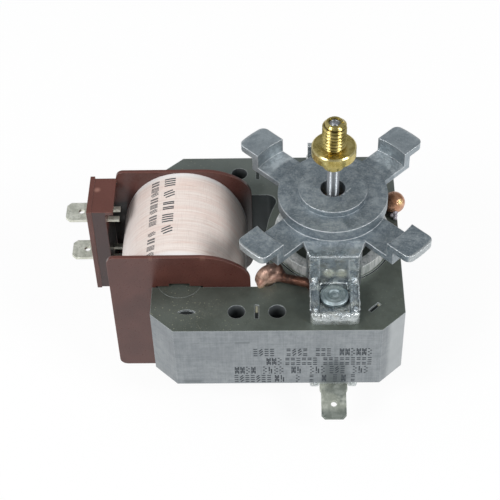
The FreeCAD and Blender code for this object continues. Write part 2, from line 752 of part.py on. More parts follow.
def add_legs(body, outward, plate_low, plate_high, knee, foot_front, front_open):
    """Two legs with ribbed feet, front and back. outward(height) gives the place of a height that is
    measured from the stack's face away from it."""
    side = sketch_on(body, "YZ_Plane", "LegSide")
    inner_y = -(d.leg_face_y - d.leg_wall)
    outline(side, [(-d.hub_boss_r, outward(plate_low)), (-d.hub_boss_r, outward(plate_high)),
                   (-d.hub_r, outward(plate_high)), (-d.leg_face_y, outward(knee)),
                   (-d.leg_face_y, outward(d.foot_height)),
                   (-(foot_front - d.foot_rim / 2), outward(d.foot_height)),
                   (-foot_front, outward(d.foot_floor)), (-foot_front, outward(0)),
                   (inner_y, outward(0)), (inner_y, outward(plate_low))])
    leg = pad(body, side, d.leg_root_half_width * 2, middle=True)

    # The sides taper from the hub to the knee and run straight down to the foot
    trim = sketch_on(body, "XY_Plane", "LegTrim", outward(0))
    far_face = foot_front + OVERRUN
    wide = d.leg_root_half_width + OVERRUN
    corner = d.foot_corner_r
    for sign in (-1, 1):
        outline(trim, [((d.leg_half_width - corner) * sign, -far_face),
                       ((d.leg_half_width - corner) * sign, -foot_front, corner * sign),
                       (d.leg_half_width * sign, corner - foot_front),
                       (d.leg_half_width * sign, -d.leg_face_y),
                       (d.leg_root_half_width * sign, -d.leg_root_y), (wide * sign, -d.leg_root_y),
                       (wide * sign, -far_face)])
    sides = pocket(body, trim, (plate_high + OVERRUN) * 2, middle=True)

    # The tray between the ribs holds the rivet's head
    tray = sketch_on(body, "YZ_Plane", "LegTray")
    rim = -far_face if front_open else d.foot_rim - foot_front
    tray_back = -(d.leg_face_y - d.rib_step)
    outline(tray, [(rim, outward(d.foot_floor)), (tray_back, outward(d.foot_floor)),
                   (tray_back, outward(knee - d.rib_step)), (rim, outward(knee - d.rib_step))])
    hollow = pocket(body, tray, RIB_INNER * 2, middle=True)

    # Room for the shading ring, which runs under the leg's inner corner
    slot_x, slot_y = ring_slot_place()
    relief = sketch_on(body, "XY_Plane", "RingRelief", outward(0))
    room = WIRE_HOLE_R + d.ring_clearance * 2
    outline(relief, box_nodes(slot_x - room * 2, slot_y - room, -RIB_INNER, slot_y + room * 2))
    clear = pocket(body, relief, WIRE_HOLE_R * 2 + d.ring_clearance * 1.5, upwards=outward is above)
    hole = sketch_on(body, "XY_Plane", "RivetHole", outward(0))
    circle(hole, 0, -RIVET_Y, d.rivet_r + d.rivet_fit)
    through = pocket(body, hole, d.foot_height, upwards=outward is above)
    rounds = sketch_on(body, "XZ_Plane", "RibRounds", far_face)
    for x, side in ((d.leg_half_width, 1), (RIB_INNER, -1), (-RIB_INNER, 1), (-d.leg_half_width, -1)):
        outline(rounds, rib_corner_nodes(x, side, outward))
    rounded = pocket(body, rounds, far_face - d.leg_face_y)
    repeat_round(body, [leg, sides, hollow, clear, through, rounded], 2)


def add_hub(body, name, outward, centre, outer, eye_end):
    """The bearing housing. outer lists (radius, height) from the rotor side outwards, and the pocket
    for felt and clip opens towards the rotor."""
    seat_r = d.bearing_r + d.bearing_seat_fit
    ledge = centre + d.pocket_ledge
    ledge_r = root(seat_r * seat_r - d.pocket_ledge * d.pocket_ledge)
    eye_z = centre + root(seat_r * seat_r - d.hub_eye_r * d.hub_eye_r)
    mouth = centre - d.pocket_mouth
    turn = -seat_r if outward is above else seat_r
    inner = eye_end + [(d.hub_eye_r, outward(eye_z), turn), (ledge_r, outward(ledge)),
                       (d.pocket_r, outward(ledge)), (d.pocket_r, outward(mouth))]
    nodes = [(radius, outward(height)) for radius, height in outer] + inner
    revolve(body, name, nodes)


def add_claws(body):
    """Four arms at 45 degrees, each with a riser and a flat claw with arcs about the shaft."""
    half = d.arm_half_width
    riser_outer = d.claw_inner_r + d.riser_wall
    claw_floor = d.claw_top - d.claw_wall
    arm_floor = d.arm_top - d.arm_wall
    arm_end_x = root(d.claw_inner_r * d.claw_inner_r - half * half)
    arm = sketch_on(body, "XY_Plane", "Arm", arm_floor, turn=45)
    outline(arm, box_nodes(d.hub_boss_r, -half, riser_outer, half))
    features = [pad(body, arm, d.arm_wall)]
    riser = sketch_on(body, "XY_Plane", "Riser", arm_floor, turn=45)
    outline(riser, [(arm_end_x, -half), (riser_outer, -half), (riser_outer, half),
                    (arm_end_x, half, -d.claw_inner_r)])
    features.append(pad(body, riser, d.claw_top - arm_floor))
    claw = sketch_on(body, "XY_Plane", "Claw", claw_floor, turn=45)
    claw_outer = riser_outer + d.claw_reach
    outer_x = root(claw_outer * claw_outer - half * half)
    outline(claw, [(arm_end_x, -half), (outer_x, -half, claw_outer), (outer_x, half),
                   (arm_end_x, half, -d.claw_inner_r)])
    features.append(pad(body, claw, d.claw_wall))
    repeat_round(body, features, 4)
    tip_reach = math.hypot(outer_x.value, half.value)
    round_edges(body, d.claw_corner_r, lambda edge: runs_along(edge, "z")
                and is_near(math.hypot(middle_of(edge).x, middle_of(edge).y), tip_reach)
                and is_near(middle_of(edge).z, claw_floor + d.claw_wall / 2))


def upper_bracket():
    body = new_body("upper_bracket")
    add_legs(body, above, d.arm_top - d.arm_wall, d.arm_top, d.leg_knee, d.foot_front, front_open=False)
    # The back foot's end stands up as a lug
    lug = sketch_on(body, "XY_Plane", "BackLug", d.foot_floor)
    half, face = d.back_lug_half_width, d.foot_front - d.foot_rim / 2
    outline(lug, box_nodes(-half, face - d.back_lug_wall, half, face))
    pad(body, lug, d.back_lug_height - d.foot_floor)
    mouth = d.upper_bearing_z - d.pocket_mouth
    arm_floor = d.arm_top - d.arm_wall
    raised_top = HUB_TOP + d.raised_height
    outer = [(d.hub_boss_r, mouth), (d.hub_boss_r, arm_floor), (d.hub_core_r, arm_floor),
             (d.hub_core_r, d.arm_top), (d.hub_r, d.arm_top), (d.hub_r, HUB_TOP), (d.raised_r, HUB_TOP),
             (d.raised_r, raised_top)]
    add_hub(body, "Hub", above, d.upper_bearing_z, outer, [(d.hub_eye_r, raised_top)])
    add_claws(body)
    return body


def lower_bracket():
    body = new_body("lower_bracket")
    plate_top = d.lower_plate + d.lower_plate_wall
    add_legs(body, below, d.lower_plate, plate_top, plate_top - d.rib_step, d.lower_foot_front,
             front_open=True)
    mouth = d.lower_bearing_z - d.pocket_mouth
    outer = [(d.hub_boss_r, mouth), (d.hub_boss_r, d.lower_plate), (d.hub_r, d.lower_plate),
             (d.hub_r, plate_top), (d.hub_boss_r, plate_top), (d.hub_boss_r, d.lower_depth)]
    end_floor = below(d.lower_depth - d.lower_end_wall)
    add_hub(body, "Hub", below, d.lower_bearing_z, outer,
            [(as_size(0), below(d.lower_depth)), (as_size(0), end_floor), (d.hub_eye_r, end_floor)])
    return body


def rivet(label, side, tail_wall):
    """A rivet with a rounded head at each end. tail_wall is what lies under the lower foot's floor."""
    body = new_body(label)
    body.setExpression("Placement.Base.y", (RIVET_Y * side).text)
    top = d.foot_floor
    bottom = STACK_FLOOR - d.foot_floor - tail_wall
    head = d.rivet_head_height
    edge = head / 2
    cap_r = d.rivet_head_r - edge
    revolve(body, "RivetSection", [
        (as_size(0), bottom - head), (cap_r, bottom - head, edge), (d.rivet_head_r, bottom - edge, edge),
        (cap_r, bottom), (d.rivet_r, bottom), (d.rivet_r, top), (cap_r, top, edge),
        (d.rivet_head_r, top + edge, edge), (cap_r, top + head), (d.rivet_dimple_r, top + head),
        (d.rivet_dimple_r * 0.8, top + head - edge / 2), (as_size(0), top + head - edge / 2)])
    return body


def earth_tab():
    """A flat plate under the front foot that runs out as a blade, drooping a little."""
    body = new_body("earth_tab")
    top = STACK_FLOOR - d.foot_floor
    wall = d.tab_wall
    reach = d.earth_shoulder + d.earth_blade
    run_x, run_z = reach * cosine(d.earth_droop), reach * sine(d.earth_droop)
    lean_x = wall * sine(d.earth_droop)
    lean_z = wall * cosine(d.earth_droop)
    back = -(d.leg_face_y - d.rib_step + d.tab_fit)
    bend = -d.earth_bend_y
    side = sketch_on(body, "YZ_Plane", "EarthSide")
    outline(side, [(back, top), (back, top - wall), (bend + lean_x / 2, top - wall),
                   (bend - run_x + lean_x, top - run_z - lean_z), (bend - run_x, top - run_z), (bend, top)])
    pad(body, side, d.earth_half_width * 2, middle=True)
    trim = sketch_on(body, "XY_Plane", "BladeTrim", top)
    shoulder_y = bend - d.earth_shoulder * cosine(d.earth_droop)
    tip_y = bend - run_x
    half = d.tab_width / 2
    wide = d.earth_half_width + OVERRUN
    slope_y = shoulder_y + (d.earth_half_width - half) * 2
    for sign in (-1, 1):
        outline(trim, [(d.earth_half_width * sign, slope_y), (half * sign, shoulder_y),
                       (half * sign, tip_y + d.tab_chamfer),
                       ((half - d.tab_chamfer) * sign, tip_y),
                       ((half - d.tab_chamfer) * sign, tip_y - OVERRUN),
                       (wide * sign, tip_y - OVERRUN), (wide * sign, slope_y)])
    pocket(body, trim, (run_z + wall) * 2)
    holes = sketch_on(body, "XY_Plane", "EarthHoles", top)
    circle(holes, 0, tip_y + d.tab_hole_back * cosine(d.earth_droop), d.tab_hole_r)
    circle(holes, 0, -RIVET_Y, d.rivet_r + d.rivet_fit)
    pocket(body, holes, (run_z + wall) * 2)
    return body


def bearing(label, outward, centre):
    """A sintered ball with flat ends and a bore that the shaft runs in."""
    body = new_body(label)
    half = d.bearing_half_height
    flat_r = root(d.bearing_r * d.bearing_r - half * half)
    bore = d.shaft_r + d.shaft_fit
    middle = outward(centre)
    revolve(body, "BearingSection", [(bore, middle - half), (flat_r, middle - half, d.bearing_r),
                                     (flat_r, middle + half), (bore, middle + half)])
    return body


def oil_felt(label, outward, centre):
    """An oiled felt ring round the bearing, between the clip and the pocket's ledge."""
    body = new_body(label)
    low = centre - d.clip_drop
    high = centre + d.pocket_ledge
    inner = d.bearing_r + d.bearing_seat_fit
    outer = d.pocket_r - d.bearing_seat_fit
    revolve(body, "FeltSection", [(inner, outward(low)), (outer, outward(low)),
                                  (outer, outward(high)), (inner, outward(high))])
    return body


def bearing_clip(label, outward, centre):
    """A spring disc pressed into the pocket, which holds the ball in its seat."""
    body = new_body(label)
    high = centre - d.clip_drop
    low = high - d.clip_wall
    seat_r = d.bearing_r + d.bearing_seat_fit
    inner = root(seat_r * seat_r - d.clip_drop * d.clip_drop)
    revolve(body, "ClipSection", [(inner, outward(low)), (d.pocket_r, outward(low)),
                                  (d.pocket_r, outward(high)), (inner, outward(high))])
    return body


def shaft():
    body = new_body("shaft", 0)
    top = d.shaft_above_seat
    end_floor = d.lower_depth - d.lower_end_wall
    bottom = -d.seat_height + below(end_floor - d.shaft_end_gap)
    edge = d.shaft_chamfer
    revolve(body, "ShaftSection", [(as_size(0), bottom), (d.shaft_r - edge, bottom),
                                   (d.shaft_r, bottom + edge), (d.shaft_r, top - edge),
                                   (d.shaft_r - edge, top), (as_size(0), top)])
    return body


def threaded_bush():
    """The brass bush: a boss, a collar that the fan seats on, and a threaded end."""
    body = new_body("threaded_bush", 0)
    top = d.bush_thread_height
    collar_floor = -d.collar_height
    edge = d.collar_chamfer
    revolve(body, "BushSection", [
        (d.shaft_r, collar_floor - d.bush_boss_height), (d.bush_boss_r, collar_floor - d.bush_boss_height),
        (d.bush_boss_r, collar_floor), (d.collar_r - edge, collar_floor), (d.collar_r, collar_floor + edge),
        (d.collar_r, -edge), (d.collar_r - edge, as_size(0)), (d.bush_thread_r, as_size(0)),
        (d.bush_thread_r, top - d.bush_chamfer), (d.bush_thread_r - d.bush_chamfer, top), (d.shaft_r, top)])
    return body


def bar_sections(body):
    """The two end circles of a rotor bar, skewed about the shaft."""
    sections = []
    half_skew = d.bar_skew / 2
    for name, height, turn in (("BarFoot", STACK_FLOOR, -half_skew), ("BarHead", as_size(0), half_skew)):
        section = sketch_on(body, "XY_Plane", name, height, turn=turn)
        circle(section, d.bar_circle_r, 0, d.bar_r)
        sections.append(section)
    return sections


def rotor_laminations():
    body = new_body("rotor_laminations")
    disc = sketch_on(body, "XY_Plane", "RotorDisc", STACK_FLOOR)
    circle(disc, 0, 0, d.bore_r - d.air_gap)
    circle(disc, 0, 0, d.shaft_r)
    pad(body, disc, d.stack_height)
    foot, head = bar_sections(body)
    hole = body.newObject("PartDesign::SubtractiveLoft", "BarHole")
    hole.Profile = foot
    hole.Sections = [head]
    repeat_round(body, [hole], d.bar_count)
    return body


def rotor_cage():
    """Cast end rings joined by skewed bars through the laminations."""
    body = new_body("rotor_cage")
    for name, height in (("UpperRing", as_size(0)), ("LowerRing", STACK_FLOOR - d.end_ring_height)):
        ring = sketch_on(body, "XY_Plane", name, height)
        circle(ring, 0, 0, d.end_ring_outer_r)
        circle(ring, 0, 0, d.end_ring_inner_r)
        ring_pad = pad(body, ring, d.end_ring_height)
        if name == "UpperRing":
            foot, head = bar_sections(body)
            bar = body.newObject("PartDesign::AdditiveLoft", "Bar")
            bar.Profile = foot
            bar.Sections = [head]
            repeat_round(body, [bar], d.bar_count)
    body.Tip = ring_pad
    return body


def spacer(label, outward, centre):
    """A tube on the shaft between the laminations and the thrust washer."""
    body = new_body(label)
    end = centre - d.bearing_half_height - d.end_play - d.washer_wall
    revolve(body, "SpacerSection", [(d.shaft_r, outward(0)), (d.spacer_r, outward(0)),
                                    (d.spacer_r, outward(end)), (d.shaft_r, outward(end))])
    return body


def thrust_washer(label, outward, centre):
    body = new_body(label)
    high = centre - d.bearing_half_height - d.end_play
    low = high - d.washer_wall
    revolve(body, "WasherSection", [(d.shaft_r, outward(low)), (d.washer_r, outward(low)),
                                    (d.washer_r, outward(high)), (d.shaft_r, outward(high))])
    return body


def build_all():
    front_tail, back_tail = d.tab_wall, as_size(0)
    parts = [
        stator_stack(), coil_core(), bobbin(), winding(), winding_tape(),
        supply_tab("terminal_upper", d.tab_upper_z),
        supply_tab("terminal_lower", d.tab_upper_z - d.tab_spacing),
        shading_ring("shading_ring_front", False, d.front_ring_turn, d.front_ring_reach, long_blob),
        shading_ring("shading_ring_back", True, d.back_ring_turn, d.back_ring_reach, round_blob),
        upper_bracket(), lower_bracket(),
        rivet("rivet_front", -1, front_tail), rivet("rivet_back", 1, back_tail), earth_tab(),
        shaft(), threaded_bush(), rotor_laminations(), rotor_cage(),
    ]
    for place, outward, centre in (("upper", above, d.upper_bearing_z), ("lower", below, d.lower_bearing_z)):
        parts += [bearing(f"{place}_bearing", outward, centre), oil_felt(f"{place}_felt", outward, centre),
                  bearing_clip(f"{place}_bearing_clip", outward, centre),
                  spacer(f"{place}_spacer", outward, centre),
                  thrust_washer(f"{place}_thrust_washer", outward, centre)]
    return parts


def check_and_write(parts):
    doc.recompute()
    failed = [item.Name for item in doc.Objects if {"Invalid", "Error"} & set(item.State)]
    for part in parts:
        if part.Shape.isNull() or not part.Shape.isValid() or part.Shape.Volume <= 0:
            failed.append(part.Label)
    if failed:
        raise RuntimeError("These objects failed: " + ", ".join(failed))
    os.makedirs("parts", exist_ok=True)
    for part in parts:
        part.Shape.exportStep(os.path.join("parts", part.Label + ".step"))
        size = part.Shape.BoundBox
        print(f"{part.Label}: {len(part.Shape.Solids)} solid, {part.Shape.Volume:.1f} mm3, "
              f"z {size.ZMin:.2f} to {size.ZMax:.2f}")


check_and_write(build_all())
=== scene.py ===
import json
import math

import bmesh
import bpy
from mathutils import Matrix, Vector, noise


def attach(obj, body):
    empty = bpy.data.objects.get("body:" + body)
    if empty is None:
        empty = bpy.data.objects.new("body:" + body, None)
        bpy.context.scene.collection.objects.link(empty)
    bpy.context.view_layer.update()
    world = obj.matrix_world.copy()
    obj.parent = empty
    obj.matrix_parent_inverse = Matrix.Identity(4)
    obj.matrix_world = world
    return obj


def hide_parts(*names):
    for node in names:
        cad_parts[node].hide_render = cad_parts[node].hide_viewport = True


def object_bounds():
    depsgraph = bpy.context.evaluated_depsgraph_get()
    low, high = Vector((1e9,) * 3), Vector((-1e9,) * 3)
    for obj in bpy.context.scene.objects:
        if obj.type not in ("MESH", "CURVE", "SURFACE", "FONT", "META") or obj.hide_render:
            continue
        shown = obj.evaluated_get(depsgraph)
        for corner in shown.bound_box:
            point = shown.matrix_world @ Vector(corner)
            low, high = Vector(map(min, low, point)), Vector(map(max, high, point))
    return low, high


# Looks of an oven fan motor: a coil on a lamination stack, a die-cast bracket with four raised
# claws, and a shaft with a threaded brass bush. Shapes are drawn in millimetres from the frame's
# origin and scaled when they become pieces. The finishes work in metres, as the shader does.

MM = 0.001
# Corners closer than this are welded
WELD = 1e-4

# The bush, measured from its collar's top face
THREAD_R = 2.95
THREAD_CORE_R = 2.3
THREAD_TOP = 7.35
THREAD_PITCH = 1.0
THREAD_TURNS = 9
THREAD_STEPS = 72
END_R = 2.0
BORE_R = 1.5
COLLAR_R = 5.4
COLLAR_HEIGHT = 3.0
COLLAR_BEVEL = 0.35
BOSS_R = 2.6
BOSS_HEIGHT = 3.4
SHAFT_DOME = [(0.0, 6.4), (1.44, 6.4), (1.44, 6.68), (1.3, 6.86), (1.0, 7.05), (0.7, 7.18),
              (0.35, 7.26), (0.0, 7.29)]

# Print on the stack's front and round the coil: plain strokes, with no letters or figures
FRONT_Y = -30.5
PRINT_PROUD = 0.02
STROKE = 0.34
FRONT_GLYPH = (1.1, 2.8)
FRONT_PITCH = 1.36
# Rows on the front by their height, each with its groups' left ends and numbers of signs
FRONT_ROWS = {
    -40.4: ((-20.07, 4), (-11.95, 4), (-4.81, 3), (1.1, 6)),
    -43.95: ((-16.87, 3), (-12.26, 6), (-2.93, 9)),
    -47.35: ((-24.78, 4), (-17.85, 4), (-10.74, 2), (-6.18, 3), (-1.31, 3), (4.44, 3)),
    -50.7: ((-25.01, 7), (-14.88, 2), (-9.7, 1), (-6.25, 1), (-3.13, 1), (-0.4, 1), (1.74, 1),
            (4.04, 1)),
}
# Rows on the coil: place round the tape, size of a sign, width of a stroke, places along the coil
COIL_ROWS = (
    (-3.0, (3.0, 2.7), 0.36, (11.1, 6.9, 2.7, -1.7, -5.8)),
    (-7.1, (2.3, 1.45), 0.2,
     (11.6, 9.6, 7.9, 5.7, 3.6, 1.8, -0.5, -2.4, -6.1, -8.5, -10.9, -13.1)),
)
TAPE_AXIS = (-38.2, -36.705)
TAPE_R = 14.705

# Strokes of a sign, each from one corner of a sign's box to another, with the box's middle at zero
SIGNS = (
    (((-0.5, 0.5), (0.5, 0.5)), ((-0.5, 0.17), (0.5, 0.17)), ((-0.5, -0.17), (0.5, -0.17)),
     ((-0.5, -0.5), (0.5, -0.5))),
    (((-0.5, 0.5), (-0.5, 0.1)), ((-0.5, -0.1), (-0.5, -0.5)), ((0.0, 0.35), (0.0, -0.35)),
     ((0.5, 0.5), (0.5, 0.1)), ((0.5, -0.1), (0.5, -0.5))),
    (((-0.5, 0.2), (0.3, 0.5)), ((-0.5, -0.15), (0.5, 0.2)), ((-0.3, -0.5), (0.5, -0.2))),
    (((-0.5, 0.5), (-0.15, 0.5)), ((0.15, 0.25), (0.5, 0.25)), ((-0.5, 0.0), (-0.15, 0.0)),
     ((0.15, -0.25), (0.5, -0.25)), ((-0.5, -0.5), (-0.15, -0.5))),
    (((-0.5, 0.5), (0.5, 0.5)), ((-0.5, 0.25), (0.5, 0.25)), ((-0.5, -0.5), (0.5, -0.5)),
     ((-0.5, -0.25), (0.5, -0.25))),
    (((-0.35, 0.5), (-0.35, -0.15)), ((0.35, 0.15), (0.35, -0.5)),
     ((-0.35, -0.45), (-0.35, -0.5))),
)

# Balls of melt that flow into the shading rings' ends, as (place, radius), and the front end's sag
FRONT_MELT = (((-15.6, -13.3, -30.0), 2.3), ((-14.3, -12.5, -30.2), 2.0),
              ((-13.4, -13.6, -30.7), 1.7), ((-15.2, -14.6, -31.0), 1.8),
              ((-17.6, -15.2, -31.7), 1.6), ((-17.7, -16.0, -32.2), 1.1))
BACK_MELT = (((14.6, 10.9, -29.7), 2.2), ((13.2, 11.8, -30.3), 1.8))
DRIP = (((16.62, 7.6, -30.4), 0.75), ((16.6, 6.9, -31.0), 0.62), ((16.6, 6.5, -31.6), 0.55),
        ((15.9, 7.3, -31.2), 0.7))
FRONT_SAG = 0.2
SAG_MIDDLE = Vector((-16.97, -13.68, -30.6))
SAG_ACROSS = Vector((-0.707, 0.515, 0.485))
SAG_START_X = -12.8
SAG_RUN = 2.0
MELT_VOXEL = 0.26

# What the die left on the bracket's front leg. Ribs are given by their middle's place along X,
# and the balls at a rib's ends and bends by (share of that place, Y, Z) and radius.
RIBS_X = (-4.75, 4.95)
RIB_LUMPS = (((1.0, -26.6, -28.9), 0.85), ((1.0, -27.8, -29.4), 0.8), ((1.0, -17.3, -28.6), 1.05),
             ((1.06, -18.3, -28.85), 0.7), ((1.0, -29.35, -53.9), 1.0))
EJECTOR_MARKS = ((-1.4, -16.35, -26.6), (1.7, -16.35, -26.7))
EJECTOR_HALVES = (1.25, 0.45, 1.3, 1.0)
# Beads of flash and fillets: start, end, radius, roughness and seed of the roughness
BEADS = (
    ((-5.7, -17.2, -20.65), (5.7, -17.2, -20.65), 0.24, 0.9, 3),
    ((-4.9, -28.15, -29.1), (4.9, -28.15, -29.1), 0.34, 1.0, 7),
    ((-3.4, -16.85, -30.45), (3.4, -16.85, -30.45), 0.42, 0.3, 5),
    ((-3.45, -16.9, -30.3), (-3.6, -19.4, -30.5), 0.32, 0.5, 9),
    ((3.45, -16.9, -30.3), (3.6, -19.4, -30.5), 0.32, 0.5, 9),
    ((-5.9, -17.5, -28.9), (-5.9, -27.0, -28.9), 0.2, 0.9, 11),
    ((5.9, -17.5, -28.9), (5.9, -27.0, -28.9), 0.2, 0.9, 13),
)
BEAD_STEP = 0.3
BEAD_WAVE = 1.7
# Curled gate marks: the curl's middle along X and the side that it opens to
GATE_CURLS = ((-2.4, 1), (2.6, -1))
CURL_YZ = (-28.55, -30.3)
CURL_R = 1.1
CURL_WIRE_R = 0.24
CURL_ANGLE = -2.6
CURL_STEPS = 14

# Camera, fitted to the photograph
CAMERA_PLACE = (-12.4324, -240.0629, 219.0043)
CAMERA_RIGHT = (0.999664, 0.009813, -0.023991)
CAMERA_UP = (0.009289, 0.728455, 0.685031)
CAMERA_LENS = 97.82
CAMERA_NEAR = 0.01
SENSOR = 36.0

# Light: square lamps as (name, place and size in metres, power in watts), and the world's glow
LAMPS = (
    ("softbox_left", (-0.625, -0.49, 0.57), 0.36, 5.6),
    ("softbox_right", (0.67, -0.43, 0.55), 0.32, 5.0),
    ("overhead_back", (-0.45, 0.25, 0.8), 0.6, 1.1),
)
LIT_MIDDLE = Vector((-0.015, 0.0, -0.035))
WORLD_COLOR = (0.95, 0.98, 1.0, 1.0)
WORLD_STRENGTH = 0.35
FLOOR_COLOR = (0.93, 0.93, 0.93, 1.0)
FLOOR_GLOW = 0.93
FLOOR_SIZE = 3.0
FLOOR_GAP = 0.0001

# Places that the finishes pick out, in metres
SHEETS_PER_METRE = 2000.0
BOLT_HOLES_X = -0.01895
BOLT_HOLES_HALVES = (0.00495, 0.02435)
BOLT_HOLE_R = 0.0022
# Dirt on the stack's front, and in the last entry painted shade above the earth tab: left, right,
# low, high, softness and strength
FRONT_DIRT_AND_TAB_SHADE = (
    (-0.0243, -0.0207, -0.03685, -0.0365, 0.0003, 0.75),
    (-0.0345, -0.0250, -0.0368, -0.0366, 0.0003, 0.35),
    (-0.0375, -0.0330, -0.0522, -0.0512, 0.0008, 0.7),
    (-0.0026, 0.0031, -0.0560, -0.0440, 0.0014, 0.6),
)
HOUSING_SPOT = (-0.0601, 0.0105, -0.0242)
GATE_MARKS_X = ((-0.0451, -0.0442), (-0.0326, -0.0313))
HUB_SCRATCH = (0.00323, -0.00145, -0.0142)
HUB_SCRATCH_TURN = (0, 0, 0.865)
# Painted highlights: two in the front leg's recess, then one on the back ring's melt
RECESS_HIGHLIGHTS = ((-0.00122, -0.0166, -0.0271), (0.00191, -0.0166, -0.0273))
BACK_MELT_HIGHLIGHT = (0.0179, 0.0082, -0.0275)
RIVETS_Y = 0.0215
# Waves of the turning marks, the rivet's rings and the winding's turns, in radians per metre
TURNING_WAVES = 26000.0
RIVET_WAVES = 7400.0
WINDING_WAVES = 21000.0

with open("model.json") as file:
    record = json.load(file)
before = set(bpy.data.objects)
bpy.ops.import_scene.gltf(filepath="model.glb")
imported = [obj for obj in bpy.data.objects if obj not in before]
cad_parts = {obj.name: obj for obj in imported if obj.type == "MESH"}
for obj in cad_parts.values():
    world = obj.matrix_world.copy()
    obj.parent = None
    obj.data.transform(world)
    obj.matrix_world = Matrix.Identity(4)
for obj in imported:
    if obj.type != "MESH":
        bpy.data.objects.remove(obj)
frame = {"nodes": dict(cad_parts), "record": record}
cad_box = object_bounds()
nodes = frame["nodes"]


class Finish:
    """A material whose pattern nodes read the piece's own coordinates, in metres."""

    def __init__(self, name, **settings):
        self.material = bpy.data.materials.new(name)
        self.material.use_nodes = True
        self.nodes = self.material.node_tree.nodes
        self.links = self.material.node_tree.links
        self.shader = self.nodes["Principled BSDF"]
        coordinates = self.nodes.new("ShaderNodeTexCoord")
        self.place = coordinates.outputs["Object"]
        self.facing = coordinates.outputs["Normal"]
        for socket, value in settings.items():
            self.shader.inputs[socket.replace("_", " ")].default_value = value

    def feed(self, socket, value):
        """Links another node's output to a socket, or sets the socket to a number or colour."""
        if isinstance(value, bpy.types.NodeSocket):
            self.links.new(value, socket)
        else:
            socket.default_value = value

    def stretched(self, scale, turn=(0, 0, 0), centre=(0, 0, 0)):
        """The piece's coordinates, centred on a place, turned and stretched."""
        mapping = self.nodes.new("ShaderNodeMapping")
        mapping.vector_type = "TEXTURE"
        mapping.inputs["Location"].default_value = centre
        mapping.inputs["Rotation"].default_value = turn
        mapping.inputs["Scale"].default_value = [1 / part for part in scale]
        self.links.new(self.place, mapping.inputs["Vector"])
        return mapping.outputs["Vector"]

    def noise(self, scale, vector=None, detail=4.0, roughness=0.55, distortion=0.0):
        """A cloudy pattern that runs about from 0.3 to 0.7."""
        texture = self.nodes.new("ShaderNodeTexNoise")
        self.links.new(vector or self.place, texture.inputs["Vector"])
        texture.inputs["Scale"].default_value = scale
        texture.inputs["Detail"].default_value = detail
        texture.inputs["Roughness"].default_value = roughness
        texture.inputs["Distortion"].default_value = distortion
        return texture.outputs["Fac"]

    def streaks(self, stretch, turn=(0, 0, 0), **pattern):
        """A noise with its own scale along each axis."""
        return self.noise(1.0, self.stretched(stretch, turn), **pattern)

    def patches(self, scale, low, high, start=0.0, end=1.0, **pattern):
        """A noise whose values from low to high fade from start to end."""
        return self.fade(self.noise(scale, **pattern), low, high, start, end)

    def cells(self, scale):
        """The distance from the nearest of a field of scattered specks."""
        texture = self.nodes.new("ShaderNodeTexVoronoi")
        self.links.new(self.place, texture.inputs["Vector"])
        texture.inputs["Scale"].default_value = scale
        return texture.outputs["Distance"]

    def axis(self, letter, vector=None):
        """One coordinate of the piece's own place, or of another vector."""
        split = self.nodes.new("ShaderNodeSeparateXYZ")
        self.links.new(vector or self.place, split.inputs[0])
        return split.outputs[letter]

    def calculate(self, operation, first, second=0.0, clamp=False):
        """The result of one math node."""
        node = self.nodes.new("ShaderNodeMath")
        node.operation = operation
        node.use_clamp = clamp
        self.feed(node.inputs[0], first)
        self.feed(node.inputs[1], second)
        return node.outputs[0]

    def times(self, product, *factors):
        for factor in factors:
            product = self.calculate("MULTIPLY", product, factor)
        return product

    def plus(self, first, second, clamp=False):
        return self.calculate("ADD", first, second, clamp)

    def minus(self, first, second):
        return self.calculate("SUBTRACT", first, second)

    def magnitude(self, value):
        return self.calculate("ABSOLUTE", value)

    def either(self, first, second):
        return self.calculate("MAXIMUM", first, second)

    def waves(self, value, rate):
        return self.calculate("SINE", self.times(value, rate))

    def hypotenuse(self, first, second):
        squares = self.plus(self.times(first, first), self.times(second, second))
        return self.calculate("SQRT", squares)

    def from_point(self, point):
        """The distance from one point of the piece."""
        node = self.nodes.new("ShaderNodeVectorMath")
        node.operation = "DISTANCE"
        self.links.new(self.place, node.inputs[0])
        node.inputs[1].default_value = point
        return node.outputs["Value"]

    def fade(self, value, low, high, start=0.0, end=1.0):
        """Turns a value between low and high into one between start and end."""
        node = self.nodes.new("ShaderNodeMapRange")
        node.interpolation_type = "SMOOTHSTEP"
        for socket, number in (("From Min", low), ("From Max", high),
                               ("To Min", start), ("To Max", end)):
            node.inputs[socket].default_value = number
        self.feed(node.inputs["Value"], value)
        return node.outputs["Result"]

    def within(self, value, low, high, soft):
        """One between two limits and zero outside them."""
        rise = self.fade(value, low - soft, low + soft)
        fall = self.fade(value, high - soft, high + soft, 1.0, 0.0)
        return self.times(rise, fall)

    def blend(self, share, first, second):
        """The first colour where the share is zero and the second where it is one."""
        node = self.nodes.new("ShaderNodeMix")
        node.data_type = "RGBA"
        for place, value in ((0, share), (6, first), (7, second)):
            self.feed(node.inputs[place], value)
        return node.outputs[2]

    def paint(self, under, mask, color, strength=None):
        """A colour, on a scale of 255, laid over another where a mask is one."""
        if strength is not None:
            mask = self.times(mask, strength)
        return self.blend(mask, under, srgb(*color))

    def rounded(self, radius):
        """Softens the shading of sharp edges, as a small round on them would."""
        node = self.nodes.new("ShaderNodeBevel")
        node.samples = 6
        node.inputs["Radius"].default_value = radius
        return node.outputs["Normal"]

    def edge_mask(self, radius):
        """One along sharp edges, where wear and handling brighten them."""
        geometry = self.nodes.new("ShaderNodeNewGeometry")
        dot = self.nodes.new("ShaderNodeVectorMath")
        dot.operation = "DOT_PRODUCT"
        self.links.new(geometry.outputs["Normal"], dot.inputs[0])
        self.links.new(self.rounded(radius), dot.inputs[1])
        return self.fade(dot.outputs["Value"], 0.80, 0.985, 1.0, 0.0)

